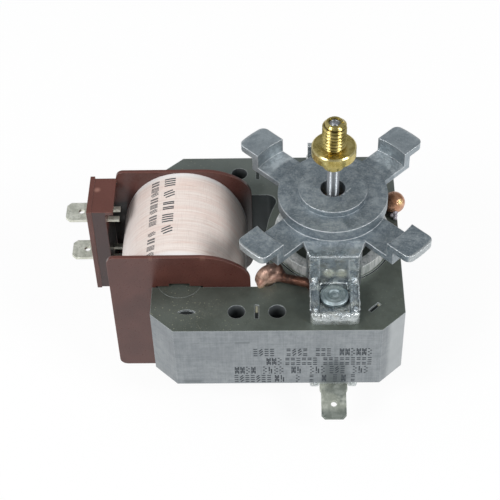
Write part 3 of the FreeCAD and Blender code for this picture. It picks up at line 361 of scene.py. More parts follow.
    def relief(self, *layers, radius=0.0):
        """Bumps from (height, depth in metres) layers over rounded edges."""
        normal = self.rounded(radius) if radius else None
        for height, depth in layers:
            bump = self.nodes.new("ShaderNodeBump")
            bump.inputs["Strength"].default_value = 1.0
            bump.inputs["Distance"].default_value = depth
            self.feed(bump.inputs["Height"], height)
            if normal is not None:
                self.links.new(normal, bump.inputs["Normal"])
            normal = bump.outputs["Normal"]
        self.links.new(normal, self.shader.inputs["Normal"])

    def turned(self):
        """Draws highlights out along the shaft's axis, as turning and grinding marks do."""
        tangent = self.nodes.new("ShaderNodeTangent")
        tangent.direction_type = "RADIAL"
        tangent.axis = "Z"
        self.links.new(tangent.outputs["Tangent"], self.shader.inputs["Tangent"])

    def finished(self, color, roughness):
        """Gives the shader its colour and roughness and returns the material."""
        self.feed(self.shader.inputs["Base Color"], color)
        self.feed(self.shader.inputs["Roughness"], roughness)
        return self.material


def srgb(red, green, blue):
    """A colour as it is seen, on a scale of 255, turned into the shader's linear one."""
    def linear(part):
        part = part / 255
        return part / 12.92 if part <= 0.04045 else ((part + 0.055) / 1.055) ** 2.4
    return (linear(red), linear(green), linear(blue), 1.0)


def lamination_steel():
    """Oiled sheet faces above and below, with dust, stains and scratches, and brushed cut edges on
    the sides. Painted shade darkens the interlock marks, the bolt holes, the window's inside and a
    band above the earth tab; painted light brightens the sheets towards the back, the right
    chamfer and parts of the front marks."""
    finish = Finish("lamination steel", Metallic=0.55, Specular_IOR_Level=0.5)
    x, y, z = (finish.axis(letter) for letter in "XYZ")
    flat = finish.fade(finish.magnitude(finish.axis("Z", finish.facing)), 0.4, 0.8)
    # The sheet faces: clouds of oil, stains, a painted sheen towards the back, pale dust and grit,
    # and scratches
    cloud = finish.patches(90, 0.3, 0.7, detail=5)
    sheet = finish.blend(cloud, srgb(88, 94, 87), srgb(108, 115, 108))
    stain = finish.patches(260, 0.45, 0.75, detail=6, roughness=0.7)
    sheet = finish.paint(sheet, stain, (76, 80, 71), 0.45)
    # Painted sheen: the sheets grow lighter towards the back
    back = finish.fade(y, 0.005, 0.026, 0.0, 0.4)
    sheet = finish.paint(sheet, back, (138, 146, 144))
    leftward = finish.fade(x, -0.036, -0.012, 1.0, 0.3)
    dust = finish.times(finish.fade(finish.cells(1050), 0.07, 0.18, 0.9, 0.0),
                        finish.patches(90, 0.42, 0.58, detail=3), leftward)
    sheet = finish.paint(sheet, dust, (184, 184, 160))
    grit = finish.times(finish.fade(finish.cells(2300), 0.1, 0.24, 0.55, 0.0), leftward,
                        finish.patches(140, 0.44, 0.6, detail=3))
    sheet = finish.paint(sheet, grit, (176, 174, 148))
    scratch = finish.streaks((1500, 60, 60), turn=(0, 0, 0.5), detail=5, roughness=0.8)
    sheet = finish.paint(sheet, finish.fade(scratch, 0.62, 0.72, 0.0, 0.35), (150, 152, 138))
    # The interlock marks sunk into them, in painted shade that is paler towards the back, with a
    # painted highlight on a half of one front mark and the end of the other
    sunk = finish.within(z, -0.0335, -0.03225, 0.00004)
    highlight_half = finish.times(finish.within(x, -0.01925, -0.01865, 0.00015),
                               finish.within(y, -0.0243, -0.0222, 0.0003))
    highlight_end = finish.times(finish.fade(x, 0.0104, 0.0108), finish.fade(y, -0.0228, -0.0224))
    shadow = finish.blend(finish.fade(y, -0.005, 0.005), srgb(42, 46, 46), srgb(68, 74, 72))
    mark = finish.paint(shadow, finish.plus(highlight_half, highlight_end, clamp=True), (188, 186, 162))
    sheet = finish.blend(sunk, sheet, mark)
    # The cut edges: grain both ways, mottle, smears, dirt, a painted shade above the earth tab,
    # the gaps between the sheets and a painted sheen on the right chamfer
    across = finish.streaks((120, 120, 4200), detail=5, roughness=0.7)
    along = finish.streaks((2600, 2600, 110), detail=5, roughness=0.7)
    grain = finish.plus(finish.times(across, 0.55), finish.times(along, 0.45))
    edge = finish.blend(finish.fade(grain, 0.38, 0.62), srgb(122, 128, 132), srgb(143, 148, 151))
    mottle = finish.patches(420, 0.36, 0.66, detail=6, roughness=0.75)
    edge = finish.paint(edge, mottle, (178, 182, 184), 0.28)
    smear = finish.patches(60, 0.42, 0.7, detail=3, distortion=0.6)
    edge = finish.paint(edge, smear, (108, 113, 118), 0.3)
    # Dirt, and in the last entry painted shade above the earth tab
    for left, right, low, high, soft, strength in FRONT_DIRT_AND_TAB_SHADE:
        dirt_and_tab_shade = finish.times(finish.within(x, left, right, soft),
                            finish.within(z, low, high, soft),
                            finish.fade(y, -0.0300, -0.0295, strength, 0.0))
        edge = finish.paint(edge, dirt_and_tab_shade, (84, 92, 94))
    layer = finish.calculate("FRACT", finish.times(z, SHEETS_PER_METRE))
    gap = finish.fade(layer, 0.0, 0.22, 1.0, 0.0)
    edge = finish.paint(edge, gap, (70, 74, 78), 0.16)
    # Painted sheen: the right chamfer's front part is brighter, as if lit from the right
    right_chamfer_sheen = finish.times(finish.fade(x, 0.0125, 0.0140),
                                 finish.fade(y, -0.0245, -0.0240, 0.5, 0.0))
    edge = finish.paint(edge, right_chamfer_sheen, (196, 200, 201))
    # Both together, with shade inside the window and the bolt holes, and worn edges
    color = finish.blend(flat, edge, sheet)
    window = finish.times(finish.within(x, -0.0470, -0.0098, 0.0004),
                          finish.within(y, -0.0165, 0.0165, 0.0001),
                          finish.fade(flat, 0, 1, 0.9, 0.0))
    color = finish.paint(color, window, (46, 54, 54))
    across = finish.minus(finish.magnitude(finish.plus(x, -BOLT_HOLES_X)), BOLT_HOLES_HALVES[0])
    along = finish.minus(finish.magnitude(y), BOLT_HOLES_HALVES[1])
    hole = finish.times(finish.fade(finish.hypotenuse(across, along), BOLT_HOLE_R - 0.00005,
                                    BOLT_HOLE_R, 1.0, 0.0),
                        finish.fade(z, -0.0345, -0.0323, 0.8, 0.2))
    color = finish.paint(color, hole, (54, 60, 59))
    nose = finish.times(finish.within(x, -0.0440, -0.0325, 0.0001),
                        finish.within(finish.magnitude(y), 0.0148, 0.0202, 0.0001))
    worn = finish.times(finish.edge_mask(0.00035), finish.fade(nose, 0, 1, 0.6, 0.2))
    color = finish.paint(color, worn, (206, 212, 214))
    rough = finish.blend(flat, finish.fade(grain, 0.3, 0.7, 0.36, 0.5),
                         finish.fade(stain, 0, 1, 0.4, 0.52))
    finish.relief((grain, 0.00002), (stain, 0.00002), radius=0.0002)
    return finish.finished(color, rough)


def bobbin_plastic():
    """A glossy red-brown moulding, with its gate marks and a pale ejector mark. Painted light
    brightens the faces that look up, and painted shade darkens the housing's front wall, the gap to
    the coil and the back flange's sheltered end."""
    finish = Finish("red-brown moulding", Specular_IOR_Level=0.5, Coat_Weight=0.25,
                    Coat_Roughness=0.18)
    x, y, z = (finish.axis(letter) for letter in "XYZ")
    cloud = finish.patches(120, 0.35, 0.7, detail=4)
    fine = finish.noise(2600, detail=3, roughness=0.7)
    color = finish.blend(cloud, srgb(75, 40, 34), srgb(87, 49, 42))
    # Painted light: faces that look up are lighter
    upward_light = finish.fade(finish.axis("Z", finish.facing), 0.5, 0.9)
    color = finish.paint(color, upward_light, (108, 62, 52), 0.45)
    color = finish.paint(color, finish.fade(fine, 0.5, 0.8, 0.0, 0.2), (128, 92, 84))
    # Painted shade on the housing's front wall, in the gap to the coil and on the back flange's
    # sheltered end
    housing_wall_shade = finish.times(finish.within(x, -0.0609, -0.0574, 0.00015),
                                finish.fade(finish.axis("Y", finish.facing), -0.9, -0.5, 1.0, 0.0))
    color = finish.paint(color, housing_wall_shade, (50, 34, 34), 0.85)
    # Painted shade: the gap between the housing and the coil, nearly black
    hollow_shade = finish.times(finish.within(x, -0.0578, -0.0535, 0.0001),
                          finish.within(y, 0.0023, 0.0147, 0.0001),
                          finish.fade(z, -0.0330, -0.0315, 0.92, 0.0))
    color = finish.paint(color, hollow_shade, (14, 12, 14))
    # Painted shade on the back flange's sheltered end
    sheltered = finish.times(finish.fade(x, -0.0260, -0.0215),
                             finish.within(y, 0.0135, 0.0160, 0.0003),
                             finish.fade(z, -0.0330, -0.0250, 0.85, 0.0))
    color = finish.paint(color, sheltered, (30, 22, 22))
    # Marks of the mould and worn edges
    ejector = finish.fade(finish.from_point(HOUSING_SPOT), 0.0002, 0.0012, 0.6, 0.0)
    color = finish.paint(color, ejector, (164, 120, 106))
    rim = finish.times(finish.fade(z, -0.0230, -0.0222),
                       finish.fade(y, -0.0158, -0.0152, 1.0, 0.0))
    for left, right in GATE_MARKS_X:
        gate = finish.times(finish.within(x, left, right, 0.0001), rim)
        color = finish.paint(color, gate, (150, 112, 96), 0.2)
    worn = finish.edge_mask(0.00025)
    color = finish.paint(color, worn, (158, 112, 100), 0.5)
    finish.relief((fine, 0.00001), radius=0.0003)
    return finish.finished(color, finish.fade(fine, 0.3, 0.7, 0.27, 0.36))


def coil_tape():
    """Pale woven tape wound round the coil, with the turns showing as fine lines, paler rims and
    painted light on its left side.
    """
    finish = Finish("coil tape", Specular_IOR_Level=0.35, Sheen_Weight=0.1)
    turns = finish.streaks((70, 5200, 70), detail=4, roughness=0.65)
    bands = finish.streaks((60, 420, 60), detail=3, roughness=0.6)
    weave = finish.streaks((2600, 900, 2600), detail=2)
    color = finish.blend(finish.fade(turns, 0.35, 0.65), srgb(226, 211, 203), srgb(241, 230, 223))
    color = finish.paint(color, finish.fade(bands, 0.45, 0.72, 0.0, 0.35), (224, 190, 177))
    streak = finish.streaks((90, 1500, 90), detail=5, roughness=0.7)
    color = finish.paint(color, finish.fade(streak, 0.54, 0.7, 0.0, 0.5), (204, 166, 148))
    threads = finish.streaks((5200, 260, 5200), detail=4, roughness=0.7)
    color = finish.paint(color, finish.fade(threads, 0.5, 0.66, 0.0, 0.3), (196, 180, 172))
    # Painted light: the left side of the tape is paler, as if lit from the left
    left_side_light = finish.fade(finish.axis("X"), -0.0535, -0.0475, 1.0, 0.0)
    color = finish.paint(color, left_side_light, (232, 228, 226), 0.5)
    middle = finish.within(finish.axis("Y"), -0.0136, 0.0128, 0.0008)
    color = finish.blend(middle, srgb(236, 232, 230), color)
    finish.relief((turns, 0.00006), (weave, 0.00002))
    return finish.finished(color, finish.fade(bands, 0.3, 0.7, 0.5, 0.62))


def die_cast():
    """A raw die casting, with a cloudy skin and bright worn edges, rougher down the legs. The
    claws' edges and the foot's end are rubbed bright. The back arms carry a painted sheen and
    their risers painted highlights, and the front leg painted shade, light and highlights."""
    finish = Finish("die casting", Metallic=0.75)
    x, y, z = (finish.axis(letter) for letter in "XYZ")
    cloud = finish.patches(220, 0.36, 0.66, detail=6, roughness=0.75, distortion=0.4)
    mottle = finish.patches(800, 0.4, 0.64, detail=5, roughness=0.7, distortion=0.3)
    speck = finish.patches(2200, 0.46, 0.7, detail=4, roughness=0.75)
    color = finish.blend(cloud, srgb(124, 135, 142), srgb(164, 173, 178))
    color = finish.paint(color, mottle, (98, 111, 122), 0.5)
    color = finish.paint(color, speck, (204, 210, 214), 0.35)
    # Fine scratches, and a long bright one on the hub
    scratch = finish.streaks((90, 2600, 90), turn=(0, 0, 0.9), detail=6, roughness=0.85)
    color = finish.paint(color, finish.fade(scratch, 0.66, 0.74, 0.0, 0.6), (214, 220, 223))
    mark = finish.stretched((1, 1, 1), HUB_SCRATCH_TURN, HUB_SCRATCH)
    line = finish.times(finish.within(finish.axis("X", mark), -0.0022, 0.0022, 0.0002),
                        finish.within(finish.axis("Y", mark), -0.00012, 0.00012, 0.00008),
                        finish.patches(1800, 0.4, 0.55, detail=3),
                        finish.fade(z, -0.0146, -0.0143))
    color = finish.paint(color, line, (226, 231, 233), 0.8)
    # The claws' edges and the front foot's end; painted highlights on the back arms' risers and in
    # the recess over its ejector marks, and a painted sheen on the back arms
    radius = finish.hypotenuse(x, y)
    claw_edge = finish.times(finish.fade(radius, 0.0283, 0.0287),
                             finish.fade(speck, 0, 1, 0.45, 0.9))
    color = finish.paint(color, claw_edge, (214, 218, 217))
    riser_highlight = finish.times(finish.within(radius, 0.0185, 0.0223, 0.0006),
                         finish.within(z, -0.0190, -0.0150, 0.0002),
                         finish.patches(500, 0.42, 0.6, 0.15, 0.9, detail=5, roughness=0.75),
                         finish.fade(y, 0.0, 0.004))
    color = finish.paint(color, riser_highlight, (218, 224, 226))
    # Painted sheen: the back arms lighter
    back_arms_sheen = finish.times(finish.fade(radius, 0.0180, 0.0190),
                             finish.fade(y, 0.002, 0.010, 0.0, 0.35))
    color = finish.paint(color, back_arms_sheen, (190, 200, 206))
    foot_end = finish.times(finish.fade(y, -0.0280, -0.0272, 0.7, 0.0),
                            finish.patches(420, 0.38, 0.62, 0.2, 1.0, detail=2))
    color = finish.paint(color, foot_end, (206, 212, 212))
    # Painted highlights in the recess, over its two ejector marks
    for point in RECESS_HIGHLIGHTS:
        glint = finish.fade(finish.from_point(point), 0.0003, 0.0022, 1.0, 0.0)
        color = finish.paint(color, glint, (255, 255, 236))
    # The legs: bronze clouds, painted shade on the sloping top, and painted light in patches and
    # along the edges below
    leg = finish.times(finish.fade(finish.magnitude(y), 0.0140, 0.0170),
                       finish.within(x, -0.0074, 0.0074, 0.0003))
    bronze = finish.patches(300, 0.45, 0.65, 0.0, 0.5, detail=4, roughness=0.7)
    color = finish.paint(color, finish.times(bronze, leg), (146, 142, 126))
    slope_shade = finish.times(finish.fade(z, -0.0208, -0.0202), leg)
    dark = finish.patches(260, 0.38, 0.6, 0.35, 0.8, detail=3, roughness=0.6)
    color = finish.paint(color, finish.times(dark, slope_shade), (80, 92, 94))
    # Painted light in patches below the sloping top
    lit = finish.times(finish.fade(z, -0.0214, -0.0206, 1.0, 0.0), leg,
                       finish.patches(500, 0.5, 0.62, 0.0, 0.5, detail=2, roughness=0.4))
    color = finish.paint(color, lit, (220, 226, 224))
    # Painted highlights along the leg's edges
    leg_edge_highlight = finish.times(finish.edge_mask(0.0009), leg)
    color = finish.paint(color, leg_edge_highlight, (230, 236, 238), 0.8)
    # Worn edges, duller at the hub's back and round its disc
    worn = finish.edge_mask(0.0004)
    broken = finish.patches(1500, 0.35, 0.55, 0.45, 1.0, detail=3)
    hub_back = finish.times(finish.fade(radius, 0.0176, 0.0182, 0.75, 0.0),
                            finish.fade(y, -0.006, 0.002))
    disc_step = finish.times(finish.within(radius, 0.0080, 0.0090, 0.0001),
                             finish.fade(z, -0.0152, -0.0148, 0.8, 0.0))
    duller = finish.fade(finish.either(hub_back, disc_step), 0.0, 1.0, 1.0, 0.0)
    broken = finish.times(broken, duller)
    color = finish.paint(color, finish.times(worn, broken), (236, 240, 242))
    ripple = finish.times(finish.noise(700, detail=3, roughness=0.6, distortion=0.5), leg)
    finish.relief((speck, 0.00003), (cloud, 0.00006), (ripple, 0.0003), radius=0.0004)
    rough = finish.minus(finish.fade(cloud, 0, 1, 0.36, 0.5), finish.times(leg, 0.16))
    return finish.finished(color, rough)


def tinned_tab():
    """Tinned brass, greyer and sooty on the earth tab and dark towards that tab's end."""
    finish = Finish("tinned tab", Metallic=0.7)
    cloud = finish.patches(500, 0.4, 0.65, detail=5, roughness=0.7)
    color = finish.blend(cloud, srgb(208, 210, 196), srgb(242, 243, 232))
    stain = finish.patches(1100, 0.55, 0.75, detail=3)
    color = finish.paint(color, stain, (160, 164, 150), 0.5)
    earth = finish.fade(finish.axis("Y"), -0.0240, -0.0210, 0.5, 0.0)
    color = finish.paint(color, earth, (128, 138, 128))
    soot = finish.times(finish.patches(240, 0.45, 0.6, detail=3), finish.fade(earth, 0, 0.5))
    color = finish.paint(color, soot, (96, 106, 106), 0.45)
    tab_end = finish.fade(finish.axis("Y"), -0.0368, -0.0350, 0.6, 0.0)
    color = finish.paint(color, tab_end, (84, 94, 92))
    finish.relief((cloud, 0.00003), radius=0.00015)
    return finish.finished(color, finish.fade(cloud, 0, 1, 0.38, 0.52))


def heated_copper():
    """Copper wire darkened by heat, and paler where its ends were melted together: rough at the
    front, smooth and more golden at the back. Painted shade darkens the front melt's upper part
    and the back melt's left side, and a painted highlight sits on the back melt."""
    finish = Finish("heated copper", Metallic=0.7)
    x = finish.axis("X")
    cloud = finish.patches(330, 0.38, 0.64, detail=5, roughness=0.65, distortion=0.5)
    wire = finish.blend(cloud, srgb(58, 40, 34), srgb(104, 70, 56))
    melt = finish.blend(cloud, srgb(160, 120, 104), srgb(234, 196, 176))
    front = finish.fade(x, -0.0150, -0.0126, 1.0, 0.0)
    back = finish.fade(x, 0.0120, 0.0150)
    color = finish.blend(finish.plus(front, back, clamp=True), wire, melt)
    soot = finish.patches(900, 0.5, 0.72, detail=4, roughness=0.7)
    color = finish.paint(color, soot, (66, 50, 46), 0.5)
    # Painted shade on the front melt's upper part
    slant = finish.plus(x, finish.plus(finish.axis("Y"), finish.axis("Z")))
    upper = finish.times(finish.fade(slant, -0.0612, -0.0580), front)
    color = finish.paint(color, upper, (84, 66, 60), 0.8)
    color = finish.paint(color, back, (190, 128, 78), 0.5)
    # Painted shade on the back melt's left side
    back_melt_shade = finish.times(finish.fade(x, 0.0146, 0.0166, 0.65, 0.0), back)
    color = finish.paint(color, back_melt_shade, (84, 56, 44))
    # Painted highlight on the back melt
    glint = finish.fade(finish.from_point(BACK_MELT_HIGHLIGHT), 0.0002, 0.0013, 0.75, 0.0)
    color = finish.paint(color, glint, (255, 224, 160))
    tip = finish.times(finish.fade(finish.axis("Z"), -0.0325, -0.0312, 1.0, 0.0), front)
    color = finish.paint(color, tip, (240, 218, 176), 0.6)
    finish.relief((cloud, 0.00010), (soot, 0.00005))
    rough = finish.minus(finish.fade(cloud, 0, 1, 0.5, 0.36), finish.times(back, 0.28))
    return finish.finished(color, rough)


def turned_brass():
    """Turned brass, with painted shade in the thread's valleys and a painted highlight along
    the collar's upper bevel.
    """
    finish = Finish("turned brass", Metallic=1.0, Anisotropic=0.8, Anisotropic_Rotation=0.25)
    finish.turned()
    x, y, z = (finish.axis(letter) for letter in "XYZ")
    radius = finish.hypotenuse(x, y)
    rings = finish.streaks((300, 300, 9000), detail=3)
    cloud = finish.patches(420, 0.35, 0.68, detail=5, roughness=0.7)
    color = finish.blend(cloud, srgb(176, 158, 90), srgb(228, 211, 142))
    # Painted shade in the thread's valleys
    valley_shade = finish.times(finish.fade(radius, 0.00238, 0.00272, 0.85, 0.0),
                          finish.fade(z, 0.0, 0.0002), finish.fade(z, 0.0066, 0.0070, 1.0, 0.0))
    color = finish.paint(color, valley_shade, (70, 52, 26))
    # Painted highlight along the collar's upper bevel
    bevel = finish.times(finish.fade(radius, 0.00505, 0.00515),
                         finish.fade(z, -0.0005, -0.0003, 0.0, 0.5))
    color = finish.paint(color, bevel, (246, 234, 184))
    turning = finish.waves(radius, TURNING_WAVES)
    finish.relief((rings, 0.00001), (turning, 0.000006))
    return finish.finished(color, finish.fade(cloud, 0, 1, 0.26, 0.38))


def plain_metal(name, dark, light, roughness, scale=700, metallic=0.9):
    """Clouds between two colours, on a scale of 255."""
    finish = Finish(name, Metallic=metallic)
    cloud = finish.patches(scale, 0.38, 0.66, detail=5, roughness=0.65)
    finish.relief((cloud, 0.00002), radius=0.00025)
    return finish.finished(finish.blend(cloud, srgb(*dark), srgb(*light)),
                           finish.fade(cloud, 0, 1, roughness, roughness + 0.1))


def zinc_rivet():
    """A zinc-plated rivet with the ring marks of the tool that closed it."""
    finish = Finish("zinc-plated rivet", Metallic=0.85)
    x, y = finish.axis("X"), finish.axis("Y")
    radius = finish.hypotenuse(x, finish.minus(finish.magnitude(y), RIVETS_Y))
    rings = finish.waves(radius, RIVET_WAVES)
    cloud = finish.patches(600, 0.36, 0.66, detail=5, roughness=0.7)
    color = finish.blend(cloud, srgb(128, 142, 146), srgb(176, 187, 191))
    color = finish.paint(color, finish.fade(rings, 0.2, 1.0, 0.0, 0.2), (100, 116, 118))
    groove = finish.within(radius, 0.0014, 0.0017, 0.0002)
    color = finish.paint(color, groove, (90, 106, 108), 0.5)
    finish.relief((rings, 0.00004), (cloud, 0.00004))
    dimple = finish.fade(radius, 0.0012, 0.0018, 0.22, 0.0)
    return finish.finished(color, finish.plus(dimple, finish.fade(cloud, 0, 1, 0.32, 0.44)))


def ground_shaft():
    """Ground steel, whose lights run along the shaft."""
    finish = Finish("ground shaft", Metallic=1.0, Anisotropic=1.0, Anisotropic_Rotation=0.25)
    finish.turned()
    rings = finish.streaks((200, 200, 12000), detail=3)
    finish.relief((rings, 0.000004), radius=0.0002)
    color = finish.blend(finish.fade(rings, 0.3, 0.7), srgb(176, 181, 186), srgb(206, 210, 214))
    return finish.finished(color, finish.fade(rings, 0.3, 0.7, 0.46, 0.52))


def copper_winding():
    """Enamelled wire, wound turn by turn."""
    finish = Finish("enamelled copper", Metallic=0.6, Coat_Weight=0.4)
    turns = finish.waves(finish.axis("Y"), WINDING_WAVES)
    color = finish.blend(finish.fade(turns, -1, 1), srgb(120, 60, 34), srgb(190, 104, 62))
    finish.relief((turns, 0.00008))
    return finish.finished(color, 0.3)


def oiled_felt():
    """Brown fibres soaked with oil."""
    finish = Finish("oiled felt", Sheen_Weight=0.3)
    fibres = finish.noise(2200, detail=6, roughness=0.8, distortion=1.2)
    finish.relief((fibres, 0.0002))
    return finish.finished(finish.blend(fibres, srgb(92, 78, 52), srgb(146, 130, 96)), 0.9)


def cast_aluminium():
    """The rotor's cast end rings, streaked round the shaft."""
    finish = Finish("cast aluminium", Metallic=0.45)
    streak = finish.streaks((900, 900, 200), detail=5, roughness=0.75, distortion=0.4)
    color = finish.blend(finish.fade(streak, 0.36, 0.62), srgb(196, 202, 200), srgb(252, 253, 252))
    finish.relief((streak, 0.00008), radius=0.0003)
    return finish.finished(color, finish.fade(streak, 0.3, 0.7, 0.3, 0.5))


def print_ink():
    """Dark patchy ink."""
    finish = Finish("dark ink", Specular_IOR_Level=0.3)
    patchy = finish.patches(2400, 0.35, 0.65, detail=4, roughness=0.8)
    finish.relief((patchy, 0.00001))
    return finish.finished(finish.blend(patchy, srgb(38, 42, 46), srgb(78, 84, 90)), 0.55)


FINISHES = {
    "lamination_steel": lamination_steel(),
    "bobbin_plastic": bobbin_plastic(),
    "copper_winding": copper_winding(),
    "coil_tape": coil_tape(),
    "tinned_tab": tinned_tab(),
    "copper_ring": heated_copper(),
    "die_cast": die_cast(),
    "rivet_steel": zinc_rivet(),
    "sintered_bronze": plain_metal("sintered bronze", (120, 92, 52), (164, 132, 84), 0.45, 2200),
    "oil_felt": oiled_felt(),
    "spring_steel": plain_metal("spring steel", (96, 98, 100), (132, 134, 136), 0.3),
    "shaft_steel": ground_shaft(),
    "cast_aluminium": cast_aluminium(),
    "spacer_brass": plain_metal("drawn brass tube", (170, 140, 74), (202, 172, 104), 0.3),
    "washer_plastic": plain_metal("laminated plastic", (186, 178, 158), (208, 201, 184), 0.5,
                                  900, 0.0),
    "turned_brass": turned_brass(),
}
INK = print_ink()


def dress_nodes():
    """Gives every carried-over CAD node the finish of its slot in the record."""
    for entry in frame["record"]["subparts"]:
        mesh = nodes[entry["node"]].data
        mesh.materials.clear()
        mesh.materials.append(FINISHES[entry["material_slot"]])


def placed(name, data):
    """A new object in the scene."""
    thing = bpy.data.objects.new(name, data)
    bpy.context.scene.collection.objects.link(thing)
    return thing


def as_mesh(name, shape):
    """Turns a finished bmesh into a mesh."""
    mesh = bpy.data.meshes.new(name)
    shape.to_mesh(mesh)
    shape.free()
    return mesh


def new_piece(name, shape, slot, body, smooth=True, finish=None):
    """Turns a finished bmesh, drawn in millimetres from the origin, into a piece of the object."""
    bmesh.ops.scale(shape, vec=(MM, MM, MM), verts=shape.verts)
    bmesh.ops.recalc_face_normals(shape, faces=shape.faces)
    mesh = as_mesh(name, shape)
    for polygon in mesh.polygons:
        polygon.use_smooth = smooth
    mesh.materials.append(finish or FINISHES[slot])
    piece = placed(name, mesh)
    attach(piece, body)
    return piece


def chain(shape, points):
    """New corners at some points, and the edges from each corner to the next."""
    corners = [shape.verts.new(point) for point in points]
    return corners + [shape.edges.new(pair) for pair in zip(corners, corners[1:])]


def swept(shape, geometry, steps, centre=(0, 0, 0), axis=(0, 0, 1), angle=math.tau,
          drift=(0, 0, 0), closed=False):
    """Spins corners and edges about an axis; a drift moves every step on by as much."""
    bmesh.ops.spin(shape, geom=geometry, cent=centre, axis=axis, angle=angle, steps=steps,
                   dvec=drift, use_merge=closed, use_normal_flip=False, use_duplicate=False)


def spun(shape, profile, steps=96):
    """A closed solid of revolution about the shaft from its (radius, height) points in turn."""
    outline = chain(shape, [(radius, 0.0, height) for radius, height in profile])
    swept(shape, outline, steps, closed=True)
    bmesh.ops.remove_doubles(shape, verts=shape.verts, dist=WELD)


def drawn_out(shape, rim):
    """Extrudes a closed rim and returns the new rim's edges and corners."""
    made = bmesh.ops.extrude_edge_only(shape, edges=rim)["geom"]
    corners = [part for part in made if isinstance(part, bmesh.types.BMVert)]
    wanted = set(corners)
    edges = [part for part in made
             if isinstance(part, bmesh.types.BMEdge) and set(part.verts) <= wanted]
    return edges, corners


def at_radius(place, radius, height):
    """A place moved in or out to a radius about the shaft, at a height."""
    share = radius / math.hypot(place.x, place.y)
    return (place.x * share, place.y * share, height)


def balls(shape, lumps, subdivisions=3):
    """Adds a ball to a shape for every (place, radius)."""
    for place, radius in lumps:
        bmesh.ops.create_icosphere(shape, subdivisions=subdivisions, radius=radius,
                                   matrix=Matrix.Translation(place))


def threaded_bush():
    """The bush with its left-handed thread, cut from a helical zigzag and chamfered at the end."""
    shape = bmesh.new()
    zigzag = [(THREAD_R if number % 2 else THREAD_CORE_R, 0.0, (number / 2 - 1) * THREAD_PITCH)
              for number in range(THREAD_TURNS * 2 + 1)]
    swept(shape, chain(shape, zigzag), THREAD_STEPS, drift=(0, 0, -THREAD_PITCH / THREAD_STEPS))
    bmesh.ops.remove_doubles(shape, verts=shape.verts, dist=WELD)
    # Cut flat above and inside the collar, and chamfer the tip
    for height, normal in ((THREAD_TOP, 1), (-COLLAR_HEIGHT / 2, -1)):
        everything = shape.verts[:] + shape.edges[:] + shape.faces[:]
        bmesh.ops.bisect_plane(shape, geom=everything, dist=1e-5, plane_co=(0, 0, height),
                               plane_no=(0, 0, normal), clear_outer=True)
    for corner in shape.verts:
        limit = END_R + (THREAD_TOP - corner.co.z)
        if math.hypot(corner.co.x, corner.co.y) > limit:
            corner.co = at_radius(corner.co, limit, corner.co.z)
    # Turn in at the mouth, go down the bore and close on to the base
    open_edges = [edge for edge in shape.edges if edge.is_boundary]
    mouth = [edge for edge in open_edges if edge.verts[0].co.z > THREAD_TOP / 2]
    base = [edge for edge in open_edges if edge.verts[0].co.z < THREAD_TOP / 2]
    for height in (THREAD_TOP, -COLLAR_HEIGHT / 2):
        mouth, corners = drawn_out(shape, mouth)
        for corner in corners:
            corner.co = at_radius(corner.co, BORE_R, height)
    bmesh.ops.bridge_loops(shape, edges=mouth + base)
    low = -COLLAR_HEIGHT
    foot = low - BOSS_HEIGHT
    inner_r = COLLAR_R - COLLAR_BEVEL
    spun(shape, [(BORE_R, foot), (BOSS_R, foot), (BOSS_R, low), (inner_r, low),
                 (COLLAR_R, low + COLLAR_BEVEL), (COLLAR_R, -COLLAR_BEVEL), (inner_r, 0.0),
                 (BORE_R, 0.0), (BORE_R, foot)])
    piece = new_piece("bush_with_thread", shape, "turned_brass", "rotor", smooth=False)
    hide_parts("threaded_bush")


def shaft_end():
    """The shaft's domed end, seen in the bush's open bore."""
    dome = bmesh.new()
    spun(dome, SHAFT_DOME, steps=48)
    new_piece("shaft_end", dome, "shaft_steel", "rotor",
              finish=plain_metal("shaft end", (150, 154, 160), (196, 199, 204), 0.12))


def melted_ring(name, node, lumps, sag=0.0):
    """A shading ring whose melted end flows into the wire, made from the node's own shape and a
    few balls. The sag draws the front end's melt in across its run, so that it hangs like a
    drop."""
    shape = bmesh.new()
    shape.from_mesh(nodes[node].data)
    bmesh.ops.scale(shape, vec=(1 / MM, 1 / MM, 1 / MM), verts=shape.verts)
    bmesh.ops.remove_doubles(shape, verts=shape.verts, dist=WELD)
    balls(shape, lumps)
    for corner in shape.verts:
        share = min(max((SAG_START_X - corner.co.x) / SAG_RUN, 0.0), 1.0) * sag
        corner.co -= SAG_ACROSS * (corner.co - SAG_MIDDLE).dot(SAG_ACROSS) * share
    piece = new_piece(name, shape, "copper_ring", "frame")
    melt = piece.modifiers.new("melt", "REMESH")
    melt.mode = "VOXEL"
    melt.voxel_size = MELT_VOXEL * MM
    melt.use_smooth_shade = True
    flow = piece.modifiers.new("flow", "SMOOTH")
    flow.factor = 0.5
    flow.iterations = 9
    evaluated = piece.evaluated_get(bpy.context.evaluated_depsgraph_get())
    solid = bpy.data.meshes.new_from_object(evaluated)
    piece.modifiers.clear()
    piece.data = solid
    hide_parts(node)


def copper_rings():
    """Both shading rings, and the dull nub that hangs from the back one's melt."""
    melted_ring("front_ring_with_melt", "shading_ring_front", FRONT_MELT, FRONT_SAG)
    melted_ring("back_ring_with_melt", "shading_ring_back", BACK_MELT)
    drip = bmesh.new()
    balls(drip, DRIP, subdivisions=2)
    new_piece("ring_drip", drip, "copper_ring", "frame",
              finish=plain_metal("dull solder", (140, 134, 142), (190, 184, 192), 0.45))


def stroke_block(shape, start, end, width, thick):
    """One printed stroke: a thin slab from one point to another in the plane of X and Y."""
    start, end = Vector(start), Vector(end)
    run = end - start
    made = bmesh.ops.create_cube(shape, size=1.0)["verts"]
    bmesh.ops.scale(shape, vec=(run.length + width * 0.6, width, thick), verts=made)
    turn = Matrix.Rotation(math.atan2(run.y, run.x), 4, "Z")
    middle = ((start + end) / 2).to_3d()
    bmesh.ops.transform(shape, matrix=Matrix.Translation(middle) @ turn, verts=made)


